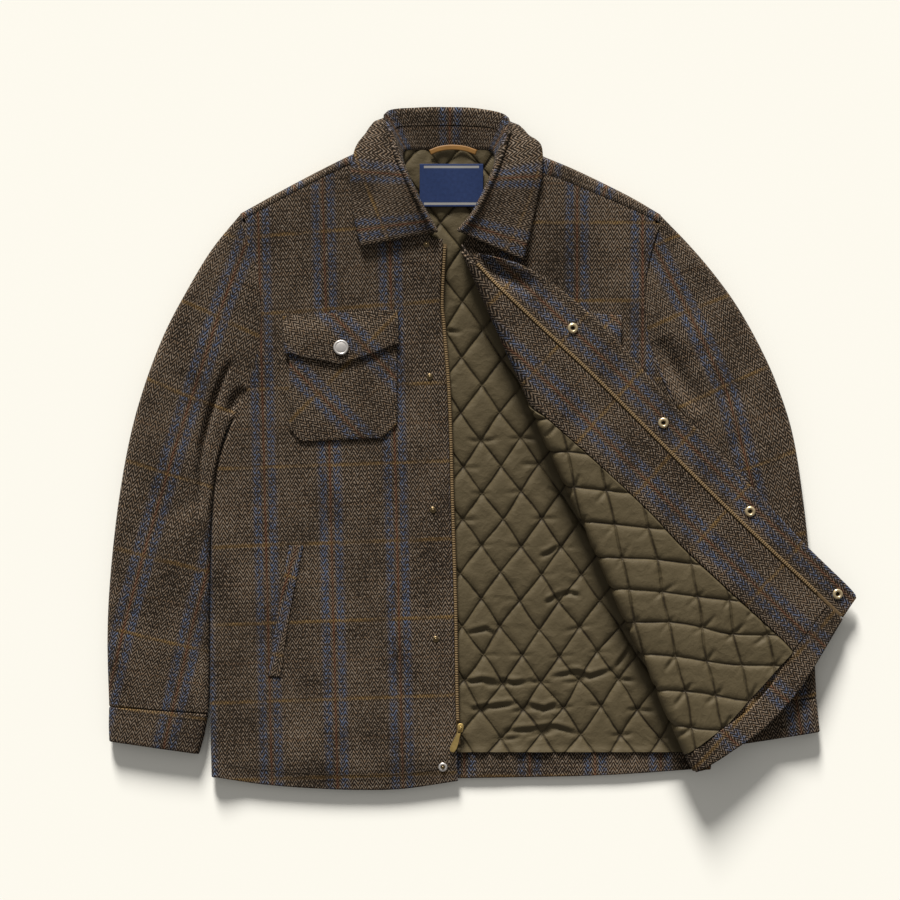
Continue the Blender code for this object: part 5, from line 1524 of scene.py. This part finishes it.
def tooth_row(line, reach, low, high):
    """Zip teeth: one small rounded block per pitch along the line, its corners drawn in toward the tip."""
    spot, way = spaced(line, TOOTH_PITCH)
    way = unit(way)
    side = np.column_stack((way[:, 1], -way[:, 0]))
    across = np.array((reach[0], reach[0] + TOOTH_NECK, reach[1] - TOOTH_TIP, reach[1]))
    half = np.array(TOOTH_LENGTHS) * TOOTH_LONG / 2
    tall = np.array(TOOTH_HEIGHTS) * (high - low) / 2
    corner = np.array(TOOTH_CORNERS)
    plan = spot[:, None, None] + side[:, None, None] * across[None, :, None, None]
    plan = plan + way[:, None, None] * (half[:, None] * corner[None, :, 0])[None, :, :, None]
    height = (low + high) / 2 + np.broadcast_to(tall[:, None] * corner[None, :, 1], plan.shape[:3])
    return np.concatenate((plan, height[..., None]), axis=3)


def add_teeth(name, node, grids):
    """All the teeth of one chain as one mesh: rings of eight corners, closed at both ends."""
    index = numbered(*grids.shape[1:3])
    ends = [ring[[0, first + 1, first + 2, first + 3]][::-ahead]
            for ring, ahead in ((index[0], 1), (index[-1], -1)) for first in (0, 2, 4)]
    faces = repeated(np.concatenate((quads(index, True), np.array(ends))), grids)
    piece = put_mesh(name, grids, faces, tooth_brass, TOOTH_SHARP)
    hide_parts(node)
    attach(piece, "jacket")


def add_zip_right():
    """The right tape under the opening's edge and its chain on top, lifted together at the neck."""
    low = FRONT_Z - WOOL / 2 - LAYER_GAP - TAPE
    outer, inner, cut = band(between(OPENING_RIGHT, ZIP_RIGHT_Y, TAPE_ROWS), TAPE_RIGHT, low, low + TAPE)
    lift = np.array((0.0, 0.0, 1.0)) * upper_lift(outer[..., 0], outer[..., 1])[..., None]
    cloth("zip_tape_right_weave", outer + lift, inner + lift, cut, tape_look, ["zip_tape_right"])
    seat = low + TAPE + REST_GAP
    line = between(OPENING_RIGHT, CHAIN_RIGHT_Y, CHAIN_ROWS)
    teeth = tooth_row(line, (CHAIN_FROM, CHAIN_TO), seat, seat + CHAIN)
    teeth[..., 2] += upper_lift(teeth[..., 0], teeth[..., 1])
    add_teeth("zip_teeth_right", "zip_chain_right", teeth)


def add_zip_left():
    """The left tape, sunk beside its seam by a smooth step, and its chain; both carried round the fold."""
    seat = -(WOOL / 2 + LAYER_GAP)
    sunk = ease((np.array(TAPE_LEFT) - TAPE_SINKS[0]) / (TAPE_SINKS[1] - TAPE_SINKS[0]))
    low = (seat - TAPE) * (1 - sunk) + (seat + TAPE_CLEAR) * sunk
    high = seat * (1 - sunk) - (WOOL / 2 + TAPE_CLEAR) * sunk
    outer, inner, cut = band(between(ZIP_LEFT, ZIP_LEFT_Y, TAPE_ROWS), TAPE_LEFT, low, high)
    cloth("zip_tape_left_weave", turned_back(outer), turned_back(inner), cut, tape_look,
          ["zip_tape_left"])
    top = seat - TAPE - REST_GAP
    teeth = tooth_row(between(ZIP_LEFT, CHAIN_LEFT_Y, CHAIN_ROWS), CHAIN_LEFT, top - CHAIN, top)
    add_teeth("zip_teeth_left", "zip_chain_left", turned_back(teeth.reshape(-1, 1, 3)).reshape(teeth.shape))


def add_turned(name, node, profile, place, up, look, slot):
    """A turned metal piece: its profile carried round an axis that stands on the place."""
    profile = np.array(profile, float)
    profile[:, 0] = np.maximum(profile[:, 0], AXIS_CLEAR)
    angle = np.arange(TURNED) * 2 * math.pi / TURNED
    side = unit(np.cross(up, (0.0, 1.0, 0.0)))
    spoke = np.cos(angle)[:, None] * side + np.sin(angle)[:, None] * np.cross(up, side)
    points = place + profile[:, None, :1] * spoke[None] + profile[:, None, 1:] * up
    piece = put_mesh(name, points, closed_rings(points), look, TURNED_SHARP)
    if node:
        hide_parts(node)
    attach(piece, "jacket")


def seat_on(spot, place, rise):
    """A spot on a surface and the way up from it, from the spot and two points beside it."""
    near = np.array(spot) + np.array(((0, 0), (1, 0), (0, 1)), float)
    seat, right, ahead = place(near[None], rise)[0]
    way = np.cross(right - seat, ahead - seat)
    return seat, unit(way) * np.sign(way[2])


def add_snaps():
    """The snaps: studs on the right front, sockets on the placket with a thin disc of painted shade in each
    hole, a cap on the flap.
    """
    for number, spot in enumerate(STUDS, 1):
        stud_seat = seat_on(spot, on_front, SNAP_CLEAR)
        add_turned(f"stud_{number}", f"snap_stud_{number}", STUD_PROFILE, *stud_seat, old_brass, "brass")
    add_turned("stud_ring", None, RING_PROFILE, *stud_seat, silver, "silver")
    for number, spot in enumerate(SOCKETS, 1):
        seat = seat_on(spot, folded, -(WOOL / 2 + SNAP_CLEAR))
        add_turned(f"socket_{number}", f"snap_socket_{number}", SOCKET_PROFILE, *seat, gilt, "brass")
        # A thin dark disc of painted shade stands for the shade inside the socket's hole
        add_turned(f"socket_hole_shade_{number}", None, HOLE_SHADE_PROFILE, *seat, painted_hole_shade, "brass")
    seat = seat_on(POCKET_SNAP, on_front, FLAP_SEAT + FLAP_RISE + WOOL + SNAP_CLEAR)
    add_turned("pocket_cap", "pocket_snap", CAP_PROFILE, *seat, silver, "silver")


def add_stitches(name, *lines):
    """Rows of sewing as one mesh: dashes that are rings of six corners, swelling and closing along each."""
    rows = [spaced(line, STITCH_PITCH) for line in lines]
    spot, way = np.concatenate([row[0] for row in rows]), unit(np.concatenate([row[1] for row in rows]))
    side = np.cross(way, UP)
    along = np.array(STITCH_ALONG) * STITCH_LONG
    swell = np.array(STITCH_SWELL) * STITCH_WIDE / 2
    angle = np.arange(6) * math.pi / 3
    grids = spot[:, None, None] + way[:, None, None] * along[None, :, None, None]
    grids = grids + side[:, None, None] * (swell[:, None] * np.cos(angle))[None, :, :, None]
    grids = grids + UP * (swell[:, None] * np.sin(angle))[None, :, :, None]
    index = numbered(*grids.shape[1:3])
    ends = [index[0, [3, 2, 1, 0]], index[0, [5, 4, 3, 0]], index[-1, [0, 1, 2, 3]], index[-1, [0, 3, 4, 5]]]
    faces = repeated(np.concatenate((quads(index, True), np.array(ends))), grids)
    piece = put_mesh(name, grids, faces, thread)
    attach(piece, "jacket")


def inset_line(line, inset):
    """A plan line moved sideways, close enough in its points for sewing."""
    return beside(spread(line, SEWN_POINTS), inset)


def add_sewing():
    """Visible sewing: the hem, the pocket and its flap, the welt, the turned flap's edges and both cuffs."""
    hem = inset_line(HEM_RIGHT, -HEM_STITCH)[3:-2]
    add_stitches("hem_stitches", on_front(hem[None], THREAD_CLEAR)[0])
    foot = inset_line([POCKET_TOP[0], *POCKET_FOOT, POCKET_TOP[1]], -EDGE_STITCH)
    point = inset_line([POCKET_FLAP_TOP[0], *POCKET_FLAP_FOOT, POCKET_FLAP_TOP[1]], -EDGE_STITCH)
    share = np.clip(np.abs(np.linspace(-1, 1, len(point))) * SEWN_SIDES[0] - SEWN_SIDES[1], 0, 1)
    loose = FLAP_SEAT + FLAP_RISE * ease(FLAP_LOOSE * (1 - share))
    bag = on_front(foot[None], REST_GAP + WOOL + THREAD_CLEAR)[0]
    flap = on_front(point[None], loose + WOOL + THREAD_CLEAR)[0]
    add_stitches("pocket_stitches", bag[8:-8], flap[4:-4])
    welt_lines = (inset_line(WELT_INNER, WELT_STITCH), inset_line(WELT_OUTER, -WELT_STITCH))
    add_stitches("welt_stitches", *(on_front(line[None], THREAD_CLEAR)[0] for line in welt_lines))
    edge = inset_line(PLACKET_EDGE, EDGE_STITCH)[3:-3]
    seam = inset_line(FACING_SEAM, -SEAM_STITCH)[2:-4]
    add_stitches("flap_stitches", folded(edge[None], -(WOOL / 2 + THREAD_CLEAR))[0],
                 folded(seam[None], FACING_LOW - THREAD_CLEAR)[0])
    for side, rows in (("right", CUFF_RIGHT), ("left", CUFF_LEFT)):
        ring = sleeve_grid(spread(rows, np.array((0.0, CUFF_STITCH, 1.0))), 0.0, ())[0][1]
        top = ring[ring[:, 2] > CUFF_TOP * ring[:, 2].max()]
        add_stitches(f"cuff_stitches_{side}", top[np.argsort(top[:, 0])] + CUFF_CLEAR * UP)


def hinged(points):
    """Points beside the pull's hinge, turned with the pull and put in place."""
    cos, sin = math.cos(PULL_TURN), math.sin(PULL_TURN)
    x, y = points[..., 0] * cos - points[..., 1] * sin, points[..., 0] * sin + points[..., 1] * cos
    return np.stack((x, y, points[..., 2]), axis=-1) + np.array(PULL_AT)


def add_slider():
    """The slider: an outline of powered sines, tapered, carried up a profile of two plates and a waist."""
    angle = np.arange(SLIDER_POINTS) * 2 * math.pi / SLIDER_POINTS
    x, y = signed_power(np.cos(angle), SLIDER_POWER), signed_power(np.sin(angle), SLIDER_POWER)
    outline = np.column_stack((SLIDER_HALF[0] * x * (1 + SLIDER_TAPER * y), SLIDER_HALF[1] * y))
    profile = np.maximum(np.array(SLIDER_PROFILE), SLIDER_LEAST)
    plan = np.array(SLIDER_AT[:2]) + profile[:, :1, None] * outline[None]
    points = with_height(plan, SLIDER_AT[2] + profile[:, 1:])
    piece = put_mesh("slider_body", points, closed_rings(points), brass, SLIDER_SHARP)
    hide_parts("zip_slider")
    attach(piece, "jacket")


def add_bail():
    """The slider's bail: a round bar carried along two straight feet and a half ellipse between them."""
    bend = np.linspace(0, math.pi, BAIL_POINTS)
    middle, reach = BAIL_REACH
    root, foot, top = BAIL_HEIGHTS
    arch = np.column_stack((-(middle + reach * np.cos(bend)), foot + (top - foot) * np.sin(bend)))
    route = np.concatenate((((arch[0, 0], root),), arch, ((arch[-1, 0], root),)))
    way = unit(np.gradient(route, axis=0))
    angle = np.arange(BAIL_ROUND) * 2 * math.pi / BAIL_ROUND
    out = np.column_stack((-way[:, 1], way[:, 0]))
    side = np.broadcast_to(BAIL_BAR * np.cos(angle), (len(route), BAIL_ROUND))
    away = route[:, None] + out[:, None] * (BAIL_BAR * np.sin(angle))[None, :, None]
    index = numbered(len(route), BAIL_ROUND)
    ends = [line[[0, first, first + 1, first + 2]]
            for line in (index[0, ::-1], index[-1]) for first in range(1, BAIL_ROUND - 2, 2)]
    faces = np.concatenate((quads(index, True), np.array(ends)))
    piece = put_mesh("slider_bail", hinged(np.concatenate((side[..., None], away), axis=2)), faces, brass)
    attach(piece, "jacket")


def add_pull():
    """The pull: a ring of cross sections between its eye and its outline, with a raised rim round both."""
    angle = np.arange(PULL_POINTS) * 2 * math.pi / PULL_POINTS
    along = 0.5 - 0.5 * np.cos(angle)
    side = signed_power(np.sin(angle), PULL_POWER)
    rim = np.column_stack((np.interp(along, *PULL_WIDTHS) * side, -(PULL_FROM + PULL_LENGTH * along)))
    eye_from, eye_to, eye_half = PULL_EYE
    eye = np.column_stack((eye_half * side, -(eye_from + (eye_to - eye_from) * along)))
    section = np.array(PULL_SECTION)
    section = np.concatenate((section, section[::-1] * np.array((1, -1))))
    plan = eye[:, None] + (rim - eye)[:, None] * section[None, :, :1]
    points = hinged(with_height(plan, section[None, :, 1]))
    piece = put_mesh("pull_plate", points, closed_rings(points), brass, PULL_SHARP)
    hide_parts("zip_pull")
    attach(piece, "pull_tab")


def add_label():
    """The neck label: a thin flat wall that follows the lining's lift with a slight wave."""
    left, right, low, high = LABEL
    size = (right - left, high - low)
    u, v = (steps(length, NARROW_CELL) for length in size)
    x, y = np.meshgrid(left + size[0] * u, low + size[1] * v)
    plan = np.stack((x, y), axis=2)
    bed = LABEL_Z - OVER_NECK * NECK_LIFT + upper_lift(x, y) + sines(x, y, LABEL_WAVES) + LABEL_CLEAR
    outer, inner = both_faces(plan, bed + LABEL_THICK / 2, rounded(u, v, *size, LABEL_THICK))
    cloth("label_weave", outer, inner, plan, label_cloth, ["label"])


def add_loop():
    """The hanger loop: a flat strap along a bowed line, rounded at its rims."""
    rows = spread(LOOP, LOOP_ROWS)
    u, v = np.array(LOOP_COLUMNS), np.linspace(0, 1, LOOP_ROWS)
    plan = ruled(beside(rows[:, :2], -LOOP_WIDE / 2), beside(rows[:, :2], LOOP_WIDE / 2), u)
    half = rounded(u, v, LOOP_WIDE, LOOP_LONG, LOOP_THICK)
    outer, inner = both_faces(plan, rows[:, 2:] + LOOP_THICK / 2, half)
    piece = shell("loop_leather", outer, inner, plan, leather)
    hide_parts("hanger_loop")
    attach(piece, "jacket")


add_back()
add_back_hem()
add_back_lining()
add_yoke("yoke_right_wool", "yoke_right", YOKE_RIGHT)
add_yoke("yoke_left_wool", "yoke_left", YOKE_LEFT)
add_right_front()
add_left_front()
add_placket()
add_facing()
add_left_hem()
add_left_lining()
on_right, on_left = (STRIPE_SLEEVE_RIGHT, LINES_SLEEVE_RIGHT), (STRIPE_SLEEVE_LEFT, LINES_SLEEVE_LEFT)
add_sleeve("sleeve_right_wool", "sleeve_right", SLEEVE_RIGHT, CREASES_RIGHT, SLEEVE_CELL, SLEEVE_LONG,
           *on_right)
add_sleeve("sleeve_left_wool", "sleeve_left", SLEEVE_LEFT, CREASES_LEFT, SLEEVE_CELL, SLEEVE_LONG,
           *on_left)
add_sleeve("cuff_right_wool", "cuff_right", CUFF_RIGHT, (), CELL, CUFF_LONG, *on_right)
add_sleeve("cuff_left_wool", "cuff_left", CUFF_LEFT, (), CELL, CUFF_LONG, *on_left)
add_armhole("armhole_seam_right", ARMHOLE_RIGHT)
add_armhole("armhole_seam_left", ARMHOLE_LEFT)
collar_part("collar_stand_wool", "collar_stand", 0.0, STAND_SEAM - SEAM_PART, STAND_COLUMNS)
collar_part("collar_fall_wool", "collar_fall", STAND_SEAM + SEAM_PART, COLLAR_EDGE, FALL_COLUMNS)
add_pockets()
add_zip_right()
add_zip_left()
add_snaps()
add_sewing()
add_label()
add_loop()
add_slider()
add_bail()
add_pull()


def place_in_scene(name, data):
    """A new object in the scene."""
    thing = bpy.data.objects.new(name, data)
    bpy.context.scene.collection.objects.link(thing)
    return thing


def add_floor():
    """A wide sheet of pale paper just under the jacket."""
    mesh = bpy.data.meshes.new("floor")
    corners = [(x * FLOOR_HALF, y * FLOOR_HALF, FLOOR_Z) for x, y in ((-1, -1), (1, -1), (1, 1), (-1, 1))]
    mesh.from_pydata(corners, [], [(0, 1, 2, 3)])
    material, tree, shader = blank("paper", roughness=0.9, specular=0.1)
    tone = blend(grain(object_place(tree), PAPER_SCALE), PAPER_SHADE, PAPER)
    feed(tree, shader.inputs["Base Color"], tone)
    mesh.materials.append(material)
    place_in_scene("floor", mesh)


def add_light_and_camera():
    """One soft sun from beyond the collar, a dim even sky, and a camera that looks straight down."""
    world = bpy.data.worlds.new("studio")
    world.use_nodes = True
    sky = world.node_tree.nodes["Background"]
    sky.inputs["Color"].default_value = SKY
    sky.inputs["Strength"].default_value = SKY_STRENGTH
    bpy.context.scene.world = world
    lamp = bpy.data.lights.new("key", "SUN")
    lamp.energy = SUN_ENERGY
    lamp.angle = SUN_SOFT
    lamp.color = SUN
    place_in_scene("key", lamp).rotation_euler = SUN_TURN
    camera = bpy.data.cameras.new("camera")
    camera.lens = LENS
    camera.sensor_width = SENSOR
    holder = place_in_scene("camera", camera)
    holder.location = CAMERA_AT
    bpy.context.scene.camera = holder
    bpy.context.scene.view_settings.view_transform = "Standard"


add_floor()
add_light_and_camera()
